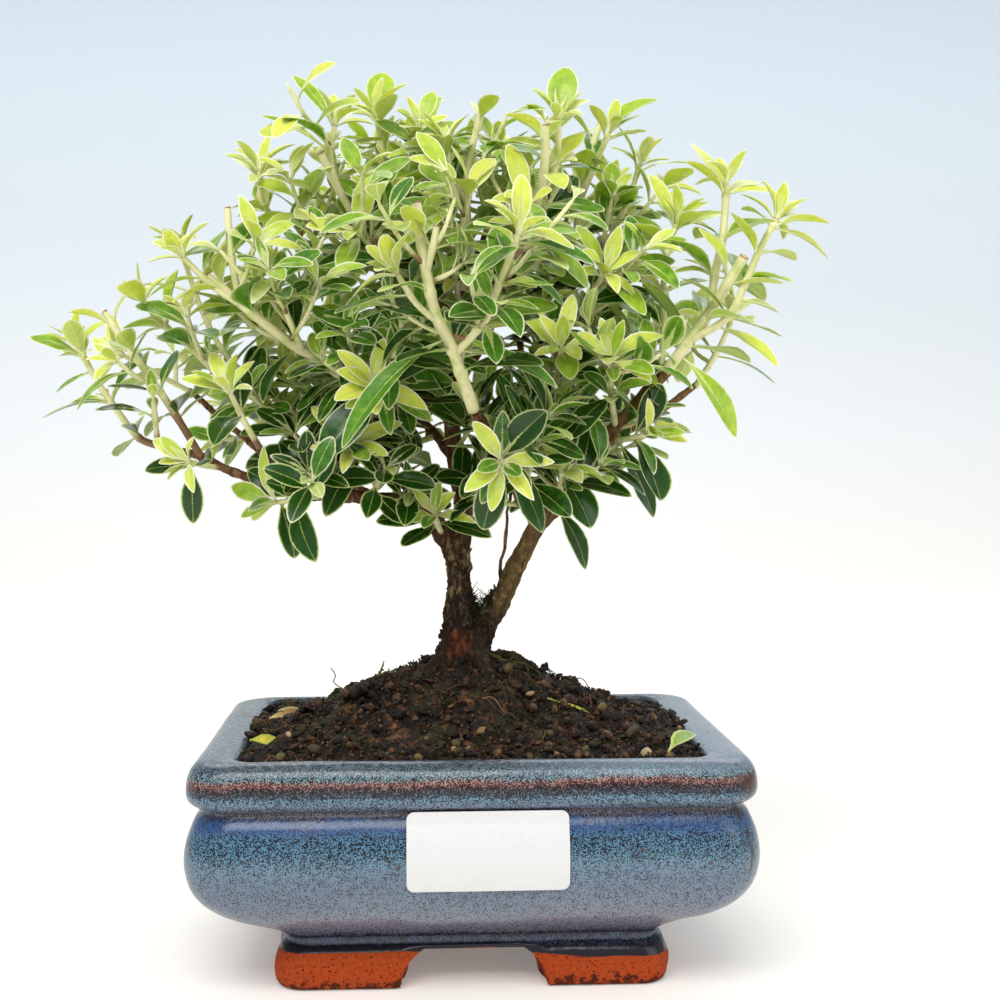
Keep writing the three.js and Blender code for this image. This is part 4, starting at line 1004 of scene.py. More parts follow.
def shootLeaves(route, leafLength, cutBack, owner, draw):
    length = routeLength(route)
    places = pairPlaces(length, cutBack)
    pairs = len(places)
    start = draw() * math.pi
    rooms = (growthValues["leafRoom"], growthValues["ownRoom"])
    leaves = []
    for k, t in enumerate(places):
        share = k / (pairs - 1) if pairs > 1 else 0.3
        for half in (0, math.pi):
            azimuth = start + k * (math.pi / 2) + half + 0.3 * (draw() - 0.5)
            spread = 1.1 - 0.35 * share + 0.25 * (draw() - 0.5)
            size = leafLength * (1 - 0.2 * share * share) * (1.02 + 0.25 * draw())
            width = size * (0.42 + 0.08 * draw())
            arch = 0.04 + 0.14 * draw()
            age = leafAge(pointAt(route, t)[2], share)
            leaves += clearLeaf(route, t, azimuth, spread, size, width, arch, owner, age, *rooms)
    if not cutBack:
        for half in (0, math.pi):
            azimuth = start + pairs * (math.pi / 2) + half
            size = 0.7 * leafLength * (0.9 + 0.2 * draw())
            t = 1 - growthValues["tipPair"] / length
            age = leafAge(pointAt(route, t)[2], 1.3)
            leaves += clearLeaf(route, t, azimuth, 0.4, size, size * 0.4, -0.05, owner, age, *rooms)
    return leaves


def chosenLeaf(ends, stems):
    wanted, tip, width = tuple(ends[:3]), tuple(ends[3:6]), ends[6]
    stations = [pointAt(route, i / 40) for route, *_ in stems for i in range(38)]
    root = min(stations, key=lambda p: math.dist(p, wanted))
    along = plus(tip, root, -1)
    length = math.sqrt(dot(along, along))
    root = plus(root, along, growthValues["rootOffset"] / length)
    age = 0.95 if root[2] < 125 else 0.45 if root[2] < 160 else 0.2
    return makeLeaf(root, along, (0, -0.5, 1), length, width, 0.06, age)


cutBackPoints = [
    pointAt(route, t) for _, shoots, _ in sprayPlans for route, _, _, *cutBack in shoots if cutBack
    for t in np.linspace(0.3, 1, 24)
]


def hidesCutStem(leaf):
    # the stems that were cut back stand free, with no small leaf in front of them
    gap = growthValues["openStem"]
    for u in (0.3, 0.6, 0.95):
        x, y, z = leafPoint(leaf, u, 0)
        for px, py, pz in cutBackPoints:
            if y < py + 1 and abs(px - x) < gap and (px - x) ** 2 + (pz - z) ** 2 < gap * gap:
                return True
    return False


# the crown's outline from the front: the reach of its stems and large leaves in each column and row of 1 mm
crownColumns, crownRows = {}, {}
crownLow, crownHigh = (-96, -65, 98), (80.5, 58.5, 202.5)  # mm


def markOutline(point):
    reach = growthValues["reach"]
    for lines, line, place in ((crownColumns, point[0], point[2]), (crownRows, point[2], point[0])):
        for i in (-2, -1, 0, 1, 2):
            low, high = lines.get(round(line) + i, (place, place))
            lines[round(line) + i] = (min(low, place - reach), max(high, place + reach))


def insideCrown(leaf):
    for u in (0.3, 0.6, 0.8, 1):
        point = leafPoint(leaf, u, 0)
        for lines, line, place in ((crownColumns, point[0], point[2]), (crownRows, point[2], point[0])):
            low, high = lines.get(round(line), (1, 0))
            if not low < place < high:
                return False
        if any(not low < x < high for low, x, high in zip(crownLow, point, crownHigh)):
            return False
    return True


def rosette(route, t, count, size, age, owner, draw, steep=0.55):
    # small young leaves close round one place of a stem
    leaves = []
    start = draw() * math.pi
    for k in range(count):
        azimuth = start + k * 2.4 + 0.3 * draw()
        spread = steep + 0.3 * draw() + 0.4 * (k % 2)
        length = size * (0.8 + 0.4 * draw())
        width = length * (0.34 + 0.1 * draw())
        leaves += clearLeaf(
            route, t, azimuth, spread, length, width, 0.02 + 0.1 * draw() + 0.14 * (k % 2), owner,
            age - 0.15 * draw(), growthValues["smallRoom"], growthValues["smallOwnRoom"], 1.0, 0.55
        )
    return [leaf for leaf in leaves if insideCrown(leaf) and not hidesCutStem(leaf)]


def growSprays():
    stems = {name: shoots for name, shoots, _ in sprayPlans}
    for route, radii in woodRoutes:
        takeStem(route, radii, "wood")
    for name, shoots, _ in sprayPlans:
        for route, radii, *_ in shoots:
            takeStem(route, radii, name)
    leaves = {}
    for name, shoots, chosen in sprayPlans:
        leaves[name] = [chosenLeaf(ends, shoots) for ends in chosen]
        for leaf in leaves[name]:
            takeLeaf(leaf, name)
    for i, (name, shoots, _) in enumerate(sprayPlans):
        draw = seededRandom(101 + 17 * i)
        for route, radii, leafLength, *cutBack in shoots:
            leaves[name] += shootLeaves(route, leafLength, bool(cutBack), name, draw)
    return stems, leaves


def growSmallLeaves(stems, leaves):
    # young leaves in the axils, and round the tips that were not cut back
    for i, (name, shoots) in enumerate(stems.items()):
        draw = seededRandom(7001 + 13 * i)
        for route, _, leafLength, *cutBack in shoots:
            length = routeLength(route)
            height = route[-1][2]
            for t in pairPlaces(length, bool(cutBack)):
                if draw() > growthValues["tufts"] * (0.4 if route[-1][0] > 34 or route[-1][0] < -48 else 1):
                    continue
                age = leafAge(height, 0.7) - 0.1
                count = 2 + int(3 * draw())
                leaves[name] += rosette(route, t, count, 0.62 * leafLength, age, name, draw, 0.5)
            tip = 1 - 0.6 / length
            if not cutBack:
                age = leafAge(height, 1.5) - 0.15
                leaves[name] += rosette(route, tip, 5, 0.7 * leafLength, age, name, draw, 0.35)


def sprigRoute(routes, lengths, draw):
    # a short twig from a chance place on the branches, bent outwards and up
    pick = draw() * sum(lengths)
    for route, length in zip(routes, lengths):
        pick -= length
        if pick <= 0:
            break
    start = pointAt(route, 0.1 + 0.75 * draw())
    if start[2] < 101 or ((start[0] + 7) / 45) ** 2 + ((start[2] - 144) / 54) ** 2 > 1:
        return None
    outward = unit((start[0], start[1] * 1.4, (start[2] - 128) * 0.7))
    turn, rise = draw() * 2 * math.pi, 0.9 * draw() - 0.2
    stray = (math.cos(turn), math.sin(turn), rise)
    way = unit(plus(plus(plus((0, 0, 0), outward, 0.35), (0, 0, 1), 0.35), stray, 0.9))
    reach = 8 + 11 * draw()
    middle = plus(start, way, reach * 0.5)
    tip = plus(middle, unit(plus(way, (0, 0, 1), 0.35)), reach * 0.5)
    near = [math.dist(tip, entry[:3]) for entry in taken.get(cellOf(tip), ()) if entry[4] != "wood"]
    if not near or min(near) < growthValues["sprigRoom"]:
        return None
    return start, middle, tip, reach


def sprigLeaves(own, pairs, owner, draw):
    age = leafAge(own[-1][2], 0.35 + 0.4 * draw())
    rooms = growthValues["smallRoom"], growthValues["smallOwnRoom"]
    leaves = []
    spin = draw() * math.pi
    for k in range(pairs):
        t, spread = 0.35 + 0.6 * k / (pairs - 1), 1.05 - 0.4 * k / pairs
        for half in (0, math.pi):
            size = (9.5 + 5 * draw()) * (1 - 0.25 * k / pairs)
            width, arch = size * (0.4 + 0.1 * draw()), 0.05 + 0.14 * draw()
            azimuth = spin + k * math.pi / 2 + half
            leaves += clearLeaf(own, t, azimuth, spread, size, width, arch, owner, age, *rooms, 0.0, 0.6)
    leaves = [leaf for leaf in leaves if insideCrown(leaf) and not hidesCutStem(leaf)]
    return leaves + rosette(own, 0.98, 3, 8, age - 0.2, owner, draw, 0.3)


def growInnerSprigs(stems):
    # short leafy twigs along the branches, which fill the inside of the crown
    draw = seededRandom(90210)
    routes = [route for route, _ in woodRoutes[1:] if max(p[2] for p in route) > 98]
    routes += [route for shoots in stems.values() for route, *_ in shoots]
    lengths = [routeLength(route) for route in routes]
    sprigs = []
    for attempt in range(1600):
        if len(sprigs) >= growthValues["innerSprigs"]:
            break
        found = sprigRoute(routes, lengths, draw)
        if found is None:
            continue
        *own, reach = found
        owner, pairs = "sprig" + str(attempt), 2 + int(reach / 6.5)
        leaves = sprigLeaves(own, pairs, owner, draw)
        if len(leaves) < pairs:
            continue
        takeStem(own, (0.5, 0.4), owner)
        sprigs.append((own, leaves))
    return sprigs


stems, leaves = growSprays()
for rows in leaves.values():
    for leaf in rows:
        for point, _ in leafSamples(leaf):
            markOutline(point)
for shoots in stems.values():
    for route, *_ in shoots:
        for t in np.linspace(0, 1, 30):
            markOutline(pointAt(route, t))
print("leaves of the frame:", sum(len(rows) for rows in leaves.values()))
growSmallLeaves(stems, leaves)
sprigs = growInnerSprigs(stems)
print("with the small ones:", sum(len(rows) for rows in leaves.values()))
print("inner sprigs:", len(sprigs), "with leaves:", sum(len(rows) for _, rows in sprigs))


# ---- leafy stems ----

leafValues = {
    "rib": 0.24, "edge": 0.13,  # mm thick at the midrib and at the margin
    "bigFrom": 11.5,  # mm: longer leaves are built finer
    "young": "#e4ea62", "fresh": "#a9c838", "middle": "#528720", "deep": "#2a5a12", "old": "#1b420b",
    "cream": "#fafacf", "creamOld": "#b9c680",
    "underYoung": "#cdd97a", "underOld": "#93ab58",
    "margin": 0.3,  # mm of cream along the edge
    "stemLight": "#efe9b8", "stemGreen": "#c6d27a",
}

bigStations = [0, 0.04, 0.1, 0.19, 0.3, 0.42, 0.55, 0.68, 0.79, 0.88, 0.95, 0.985, 1]
bigAcross = [-1, -0.66, -0.3, 0, 0.3, 0.66, 1]
smallStations = [0, 0.08, 0.22, 0.4, 0.6, 0.78, 0.91, 0.975, 1]
smallAcross = [-1, -0.5, 0, 0.5, 1]
shootPlace, cutPlace = 1, 2  # places in a piece's list of materials, after the leaf's
looks = random.Random(5)


def drawForm(leaf, u):
    # the half width and the bends of one leaf, each a little different
    blunt = looks.uniform(0.5, 0.66) if leaf.age > 0.5 else looks.uniform(0.5, 0.74)
    shape = np.sin(np.pi * np.clip(u, 0, 1) ** looks.uniform(1.25, 1.65)) ** blunt
    shape = np.nan_to_num(shape) * (0.5 + 0.5 * np.clip(u / 0.4, 0, 1))
    half = np.maximum(leaf.width / 2 * shape, np.interp(u, [0, 0.12, 0.9, 1], [0.3, 0.3, 0.1, 0.06]))
    twist = looks.uniform(-0.3, 0.3) * u
    wave = looks.uniform(0.02, 0.09)
    turns, phase = looks.uniform(1.0, 2.2), looks.uniform(0, 6.3)
    cup = looks.uniform(0.15, 0.6) if leaf.young else looks.uniform(0.08, 0.45)
    curl = looks.uniform(0.3, 1.05) if leaf.young else looks.uniform(0.1, 0.85)
    return half, twist, wave, turns, phase, cup, curl


def leafFace(leaf, form, u, across, under):
    # one face of the blade: where its points lie, and what the leaf's material needs of them
    half, twist, wave, turns, phase, cup, curl = form
    uu, vv = np.meshgrid(u, across, indexing="ij")
    hh = half[:, None]
    soft = np.sqrt(vv ** 2 + 0.03) - 0.17
    rise = cup * soft * hh * 1.2 - leaf.arch * leaf.length * uu ** 2 - 0.1 * vv ** 4 * hh
    rise -= curl * leaf.length * (uu ** 2.2) * 0.5
    rise += wave * hh * np.sin(turns * 6.28 * uu + phase) * vv ** 2
    groove = np.exp(-(vv / 0.16) ** 2) * np.clip(1 - uu, 0, 1)
    if under:
        thick = leafValues["edge"] + (leafValues["rib"] - leafValues["edge"]) * (1 - vv ** 2)
        rise -= thick * np.clip(8 * (1 - uu), 0.2, 1) + 0.16 * groove
    else:
        rise -= 0.07 * groove
    along, fromRib = leaf.length * uu, vv * hh
    side, rise = fromRib * np.cos(twist)[:, None], rise + fromRib * np.sin(twist)[:, None]
    rim, vein = hh * (1 - np.abs(vv)), along - 0.75 * np.abs(vv) * hh
    return along, side, rise, rim, fromRib, vein, uu, np.full_like(uu, under)


def addLeaf(parts, leaf):
    big = leaf.length > leafValues["bigFrom"] and not leaf.young
    u = np.array(bigStations if big else smallStations)
    across = np.array(bigAcross if big else smallAcross)
    form = drawForm(leaf, u)
    faces = leafFace(leaf, form, u, across, 0), leafFace(leaf, form, u, across[-2:0:-1], 1)
    rows = (np.concatenate(pair, axis=1) for pair in zip(*faces))
    along, side, rise, rim, fromRib, vein, share, under = rows
    # the tip has a margin too
    rim = np.minimum(rim, (leaf.length - along) * 0.9 + 0.02)
    root, way, up, out = (np.array(a) for a in (leaf.root, leaf.dir, leaf.up, leaf.side))
    points = root + along[..., None] * way + side[..., None] * out + rise[..., None] * up
    around = points.shape[1]
    age = min(1, max(0, leaf.age - outerAge(leaf.root[0], leaf.root[2]) + looks.uniform(-0.16, 0.16)))
    # most leaves are turned on their stalks so that the upper side looks out of the crown
    if leaf.up[1] > 0.05 and looks.random() < 0.7:
        under = 1 - under
    edge = np.zeros(around, bool)
    edge[[0, len(across) - 1]] = True
    parts.add(
        points.reshape(-1, 3), skinFaces(len(u), around), sharp=np.tile(edge, len(u)),
        leafPlace=np.stack([rim, fromRib, vein], axis=-1).reshape(-1, 3),
        leafKind=(age, looks.random(), looks.random()),
        leafSide=np.stack([share, under, np.zeros_like(share)], axis=-1).reshape(-1, 3),
    )


def tubeRings(centres, radii, sides):
    centres = np.asarray(centres, float)
    ways = normalised(np.gradient(centres, axis=0))
    normal = np.array((0.31, 0.95, 0.07))
    rings = []
    turn = np.linspace(0, 2 * np.pi, sides, endpoint=False)
    for centre, way, radius in zip(centres, ways, radii):
        normal = normal - way * normal.dot(way)
        normal /= np.linalg.norm(normal)
        ring = np.cos(turn)[:, None] * normal + np.sin(turn)[:, None] * np.cross(way, normal)
        rings.append(centre + ring * radius)
    return np.array(rings)


def addStem(parts, route, radii, cutBack, nodes, sides, barkAtRoot):
    length = routeLength(route)
    count = max(5, int(length / 0.9))
    t = np.linspace(0, 1, count + 1)
    centres = [pointAt(route, x) for x in t]
    radius = radii[0] + (radii[1] - radii[0]) * t
    atNode = np.zeros(count + 1)
    for place in nodes:
        atNode += np.exp(-(((t - place) * length) / 0.9) ** 2)
    radius = radius * (1 + 0.2 * np.clip(atNode, 0, 1))
    if not cutBack:
        radius[-1] *= 0.35
    rings = tubeRings(centres, radius, sides)
    faces = skinFaces(count + 1, sides, True, not cutBack)
    age = np.clip(barkAtRoot * (1 - t * 1.6), 0, 1)
    kind = np.repeat(np.column_stack([age, np.clip(atNode, 0, 1), t]), sides, axis=0)
    blank = (0, 0, 0)
    parts.add(rings.reshape(-1, 3), faces, shootPlace, leafPlace=blank, leafKind=kind, leafSide=blank)
    if cutBack:  # a cut end: a thin raised ring of bark round sunken pith
        last, way = rings[-1], np.array(tangentAt(route, 1.0))
        middle = last.mean(axis=0)
        tilt = np.array([0.25, -0.1, 0.3])
        out = last - middle
        slant = (out @ tilt)[:, None] * way * 0.5
        rises = (1.0, 0.2), (0.84, 0.3), (0.6, 0.16), (0.25, 0.1)
        steps = [last] + [middle + out * grow + way * rise + slant for grow, rise in rises]
        kind = np.full((len(steps) * sides, 3), 0.5)
        kind[:, 0] = np.repeat([0, 0.3, 0.6, 0.9, 1], sides)
        parts.add(
            np.vstack(steps), skinFaces(len(steps), sides), cutPlace,
            leafPlace=blank, leafKind=kind, leafSide=blank
        )


def leafMaterial():
    # a waxy leaf with a cream margin: bright lime when young, deep and glossy when old, pale below
    values = leafValues
    m = newMaterial("variegated serissa leaf")
    rim, fromRib, vein = pointValues(m, "leafPlace")
    age, tone, streaky = pointValues(m, "leafKind")
    share, under, _ = pointValues(m, "leafSide")
    mm = millimetres(m)
    mottle = noiseAt(m, mm, 0.5, 3)
    fine = noiseAt(m, mm, 2.4, 2)
    # the upper side
    shade = times(m, tone, 0.16, times(m, mottle, 0.36, age))
    upper = rampOf(m, shade, [
        (0.2, values["young"]), (0.5, values["fresh"]), (0.76, values["middle"]), (0.97, values["deep"]),
        (1.0, values["old"]),
    ])
    # side veins: fine light lines that leave the midrib forwards
    line = ease(m, maths(m, "SINE", times(m, vein, 3.4)), 0.72, 1.0)
    upper = mix(m, times(m, line, remap(m, age, 0.2, 0.8, 0.14, 0.0)), upper, "#b9d070")
    # a feathery cream streak up the midrib, broad in some young leaves
    distance = maths(m, "ABSOLUTE", fromRib)
    ragged = times(m, fine, 0.9, distance)
    reach = times(m, streaky, times(m, share, -1.5, 1.15))
    reach = times(m, times(m, reach, maths(m, "SUBTRACT", 1.15, age)), 1.9, 0.44)
    streak = times(m, ease(m, maths(m, "SUBTRACT", reach, ragged), -0.05, 0.2), 0.8)
    upper = mix(m, streak, upper, "#dbe59a")
    # the midrib itself shows as a thin pale line
    upper = mix(m, times(m, ease(m, distance, 0.2, 0.06), 0.35), upper, "#b3c46a")
    # the underside: dull pale green with the veins clearly seen
    below = mix(m, age, values["underYoung"], values["underOld"])
    below = mix(m, times(m, line, 0.22), below, "#7f9440")
    colour = mix(m, under, upper, mix(m, ease(m, distance, 0.32, 0.12), below, "#cfd98c"))
    # the cream margin on both sides
    uneven = times(m, fine, 0.35, rim)
    widest = values["margin"]
    margin = ease(m, uneven, widest + 0.3, widest + 0.05)
    colour = mix(m, margin, colour, mix(m, age, values["cream"], values["creamOld"]))
    dull = times(m, under, 0.3, remap(m, age, 0.0, 1.0, 0.36, 0.22))
    bump = bumpOf(m, times(m, line, 0.2, mottle), 0.25, 0.0001)
    return finished(m, {
        "Base Color": colour, "Roughness": dull, "IOR": 1.45, "Specular IOR Level": 0.5, "Normal": bump,
        "Subsurface Weight": 0.24, "Subsurface Radius": (0.8, 1.0, 0.2), "Subsurface Scale": 0.0008,
    })


def stemMaterial():
    # soft green wood, cream in broad blotches, browner at its nodes and towards the old wood
    m = newMaterial("green serissa shoot")
    barky, atNode, _ = pointValues(m, "leafKind")
    mm = millimetres(m)
    blotch = noiseAt(m, mm, 0.28, 3)
    fine = noiseAt(m, mm, 2.6, 3)
    pale = remap(m, blotch, 0.3, 0.55)
    green = mix(m, pale, leafValues["stemGreen"], leafValues["stemLight"])
    green = mix(m, ease(m, times(m, atNode, fine), 0.5, 0.66, 0, 0.6), green, "#a0704a")
    bark = mix(m, fine, "#6f4e36", "#a98560")
    colour = mix(m, ease(m, times(m, blotch, 0.7, barky), 0.7, 1.05), green, bark)
    bump = bumpOf(m, fine, 0.35, 0.0001)
    return finished(m, {
        "Base Color": colour, "Roughness": 0.5, "IOR": 1.45, "Normal": bump,
        "Subsurface Weight": 0.15, "Subsurface Radius": (0.8, 0.9, 0.4), "Subsurface Scale": 0.0008,
    })


def cutMaterial():
    # a dried cut: reddish-brown rim round pale pith
    m = newMaterial("dried cut wood")
    fromEdge, _, _ = pointValues(m, "leafKind")
    inward = times(m, noiseAt(m, millimetres(m), 2.5, 3), 0.5, fromEdge)
    colour = rampOf(m, inward, [
        (0.2, "#cdbb8a"), (0.45, "#a1694e"), (0.75, "#b98766"), (1.0, "#dcc6a0"),
    ])
    return finished(m, {"Base Color": colour, "Roughness": 0.8})


leafLook, stemLook, cutLook = leafMaterial(), stemMaterial(), cutMaterial()
for name, shoots in stems.items():
    parts = Parts()
    for route, radii, leafLength, *cutBack in shoots:
        nodes = pairPlaces(routeLength(route), bool(cutBack))
        barkAtRoot = 1.0 if route[0][2] < 118 else 0.4
        addStem(parts, route, radii, bool(cutBack), nodes, 8, barkAtRoot)
    for leaf in leaves[name]:
        addLeaf(parts, leaf)
    parts.piece(
        "leafyStem_" + name, [leafLook, stemLook, cutLook], replaces=["leafy_stem_" + name], slot="leaf"
    )
groups = {}
for own, rows in sprigs:
    area = "left" if own[0][0] < -15 else "right" if own[0][0] > 15 else "middle"
    area += "Upper" if own[0][2] > 135 else "Lower"
    parts = groups.setdefault(area, Parts())
    addStem(parts, own, (0.55, 0.42), False, (0.4, 0.7), 6, 0.8)
    for leaf in rows:
        addLeaf(parts, leaf)
for area, parts in groups.items():
    parts.piece("innerSprigs_" + area, [leafLook, stemLook, cutLook], slot="leaf")
    print("inner sprigs", area, len(parts.faces))
print("leaves are built")


# ---- trunk and branches ----

woodValues = {
    "grain": 0.4,  # mm between points of the bark's surface
    "forkMoss": 520, "flakes": 170,
    "deepBark": 0.62,  # mm of relief low on the left trunk
    "deadTwig": 0.6,  # mm: routes thinner than this are dead twigs
    "barkDark": "#2a2014", "barkMiddle": "#5d4a30", "barkLight": "#94784f",
    "moss": "#43501c", "lichen": "#7d7b52",
}


def woodMaterial():
    # cracked grey-brown bark, redder on the branches, almost black and mossy where it leaves the soil
    values = woodValues
    m = newMaterial("serissa bark")
    mm = millimetres(m)
    across, _, height = axesOf(m, mm)
    ridge = noiseAt(m, stretched(m, mm, (1, 1, 0.28)), 1.1, 5, 0.65)
    fine = noiseAt(m, mm, 3.2, 4)
    patch = noiseAt(m, mm, 0.55, 4, 0.6)
    tone = times(m, pointValue(m, "relief"), 0.35, ridge)
    colour = rampOf(m, tone, [
        (0.3, "#17110b"), (0.44, values["barkDark"]), (0.56, values["barkMiddle"]),
        (0.7, values["barkLight"]), (0.88, "#ab9068"),
    ])
    # redder young bark on the branches
    high = ease(m, height, 84, 112)
    red = rampOf(m, ridge, [
        (0.34, "#3a2418"), (0.5, "#714832"), (0.64, "#957050"), (0.8, "#b0906a"),
    ])
    colour = mix(m, high, colour, red)
    colour = mix(m, ease(m, patch, 0.56, 0.64, 0, 0.45), colour, values["lichen"])
    colour = mix(m, ease(m, patch, 0.4, 0.32, 0, 0.45), colour, "#8a5227")
    # the right trunk is smoother and more tan
    tan = ease(m, times(m, height, -0.3, across), -19.0, -17.0, 0, 0.7)
    tan = times(m, times(m, tan, remap(m, height, 70, 78)), ridge)
    colour = mix(m, tan, colour, "#8f7140")
    # damp and almost black towards the soil, higher up on the left trunk
    damp = ease(m, times(m, patch, 16, height), 94, 78, 0, 0.84)
    damp = times(m, damp, maths(m, "SUBTRACT", 1, tan))
    colour = mix(m, damp, colour, "#23130b")
    # a bare orange patch low on the front of the left trunk
    centre = addNode(m, "VectorMath", {0: mm, 1: (-3, -6, 70)}, operation="DISTANCE")
    bare = ease(m, times(m, ridge, -5, centre.outputs["Value"]), 2.2, -2.2, 0, 0.7)
    colour = mix(m, bare, colour, "#7a3614")
    colour = mix(m, ease(m, times(m, fine, damp), 0.46, 0.6, 0, 0.3), colour, values["moss"])
    bump = bumpOf(m, maths(m, "ADD", ridge, fine), 0.6, 0.00025)
    return finished(m, {
        "Base Color": colour, "Roughness": 0.85, "Normal": bump, "Specular IOR Level": 0.3,
    })


def routeTube(route, radii, sides, swell=0.0):
    length = routeLength(route)
    count = max(4, int(length / 1.5))
    t = np.linspace(0, 1, count + 1)
    radius = radii[0] + (radii[1] - radii[0]) * t
    if swell:
        for place in np.arange(7, length, 9):
            radius = radius * (1 + swell * np.exp(-(((t * length) - place) / 1.2) ** 2))
    rings = tubeRings([pointAt(route, x) for x in t], radius, sides)
    return rings.reshape(-1, 3), skinFaces(count + 1, sides)


def buildWood(material):
    # the tubes are melted into one skin, and the skin is then pushed in and out as bark
    parts = Parts()
    for route, radii in woodRoutes:
        if radii[0] > woodValues["deadTwig"]:
            parts.add(*routeTube(route, radii, 12, 0.16 if radii[0] < 2.5 else 0.0))
    rootFlare = [
        ([[-1, 0, 71], [-5, -4, 66], [-9, -8, 61]], (2.6, 1.2)),
        ([[0, -2, 70], [3, -6, 65], [5, -10, 60]], (2.4, 1.0)),
        ([[-2, 2, 70], [-7, 5, 65], [-11, 8, 59]], (2.4, 1.0)),
        ([[1, 2, 69], [6, 5, 64], [10, 7, 58]], (2.4, 1.0)),
    ]
    for route, radii in rootFlare:
        parts.add(*routeTube([tuple(p) for p in route], radii, 10))
    wood = parts.piece("trunkAndBranches", [material])
    melt = wood.modifiers.new("one skin", "REMESH")
    melt.mode, melt.voxel_size = "VOXEL", woodValues["grain"] * 0.001
    mesh = settle(wood)
    count = len(mesh.vertices)
    points, normals = np.empty(count * 3, np.float32), np.empty(count * 3, np.float32)
    mesh.vertices.foreach_get("co", points)
    mesh.vertex_normals.foreach_get("vector", normals)
    mm = (points.reshape(-1, 3).astype(float) - potMiddle) * 1000
    normals = normals.reshape(-1, 3).astype(float)
    # cracks run up the trunk, so the noise is drawn out along it
    cracks = 1 - np.abs(roughness(mm * (1, 1, 0.3), 0.55, 3, 2)) * 2.6
    flakes = roughness(mm * (1, 1, 0.55), 0.9, 3, 6)
    lumps = roughness(mm, 0.2, 2, 11)
    height = mm[:, 2]
    onRight = np.clip((mm[:, 0] - (height - 60) * 0.28) / 3, 0, 1)
    depth = np.interp(height, [50, 66, 80, 92, 110, 150], [0.7, 0.62, 0.5, 0.3, 0.14, 0.08])
    depth = depth * (1 - 0.45 * onRight) * woodValues["deepBark"] / 0.62
    push = depth * (0.9 * flakes - 0.8 * np.clip(cracks, 0, 1) + 0.9 * lumps)
    # loose flakes of bark lift off low on the trunk
    lifted = roughness(mm * (1, 1, 0.7), 0.42, 2, 15)
    lowDown = np.interp(height, [58, 66, 88, 96], [1, 1, 0.6, 0])
    push += depth * 1.5 * np.clip((lifted - 0.18) * 5, 0, 1) * lowDown
    relief = np.clip(0.5 + push / (2 * np.maximum(depth, 0.05)), 0, 1) - 0.5
    moved = mm + normals * push[:, None]
    mesh.vertices.foreach_set("co", (toMetres(moved)).astype(np.float32).ravel())
    layer = mesh.attributes.new("relief", "FLOAT", "POINT")
    layer.data.foreach_set("value", relief.astype(np.float32))
    mesh.polygons.foreach_set("use_smooth", np.ones(len(mesh.polygons), bool))
    mesh.update()
    print("bark faces:", len(mesh.polygons))
    return wood, moved, normals


def addForkMoss(parts):
    # dark moss with hairs in the fork
    points, normals = barkPoints, barkNormals
    x, y, z = points.T
    fork = np.flatnonzero((np.abs(x - 2.6) < 2.8) & (np.abs(z - 77) < 4) & (y < 1.5))
    for k in range(woodValues["forkMoss"]):
        i = fork[trimming.randrange(len(fork))]
        stray = trimming.gauss(0, 0.4), trimming.gauss(0, 0.4), 0.5 + trimming.gauss(0, 0.4)
        way = normals[i] + stray
        base, length = points[i] - 0.1 * normals[i], trimming.uniform(0.5, 1.1)
        if k % 9 == 0:
            length *= 2.4
        route = [base, base + way * length * 0.5, base + way * length + (0.1, 0, 0.1)]
        parts.add(*thread(route, 0.09, 4), relief=trimming.uniform(-0.1, 0.5))


def addBarkFlakes(parts):
    # flakes of old bark that stand out of the left trunk, and the thin dead twigs
    x, _, z = barkPoints.T
    trunk = np.flatnonzero((z > 62) & (z < 97) & (x < 0.28 * (z - 60)) & (x > -9))
    for k in range(woodValues["flakes"]):
        i = trunk[trimming.randrange(len(trunk))]
        size = trimming.uniform(0.25, 0.7)
        shape = ballPoints * (size, size * 0.3, size * 1.3)
        shape = turned(shape, trimming.uniform(0, 6.3), 0, trimming.uniform(-0.5, 0.5))
        shape = shape * (1 + 0.5 * roughness(ballPoints + k, 1.2, 2, 1))[:, None]
        shape = shape + barkPoints[i] + barkNormals[i] * 0.15
        parts.add(shape, ballFaces, relief=trimming.uniform(-0.5, 0.2))
    for route, radii in woodRoutes:
        if radii[0] < woodValues["deadTwig"]:
            rows, faces = routeTube(route, radii, 8, 0.4)
            upward = rows * (0, 0, 1)
            rows += 0.5 * np.column_stack([roughness(upward + k * 7, 0.25, 2, 51) for k in (1, 2, 3)])
            parts.add(rows, faces, relief=0)


trimming = random.Random(31)
bark = woodMaterial()
wood, barkPoints, barkNormals = buildWood(bark)
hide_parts("wood")
print("wood is built")


# ---- soil ----

soilValues = {
    "edgeHeight": 47.4, "mound": 18.6, "moundLength": 35, "moundDepth": 22,  # mm
    "gap": 0.4, "looseGap": 0.3,  # mm between the soil, or its loose bits, and the pot's wall
    "trunkRoom": 5, "leafRoom": 4.3,  # mm kept free of loose bits
    "grain": 0.55,  # mm between points of the surface
    "crumbs": 2800, "grit": 7000, "pebbles": 50, "fibres": 70, "chips": 90, "moss": 90, "clod": 70,
    "dark": "#1a0e07", "middle": "#4a2d1b", "light": "#94683e",
}
digging = random.Random(77)
DroppedLeaf = namedtuple("DroppedLeaf", "name x y heading lift face length width")
droppedLeaves = [
    DroppedLeaf("yellow", -49, -18, 0.05, 0.12, (0, -0.8, 1), 6.8, 3.8),
    DroppedLeaf("tan", -46.5, 1, 0.35, 0.3, (0, -0.8, 1), 8, 3.6),
    DroppedLeaf("brown", -19, -26, 0.05, 0.05, (0, -0.9, 1), 8, 5.4),
    DroppedLeaf("green", 41.5, -34.5, 0.78, 0.64, (-0.5, -0.7, 0.8), 10, 4.4),
]


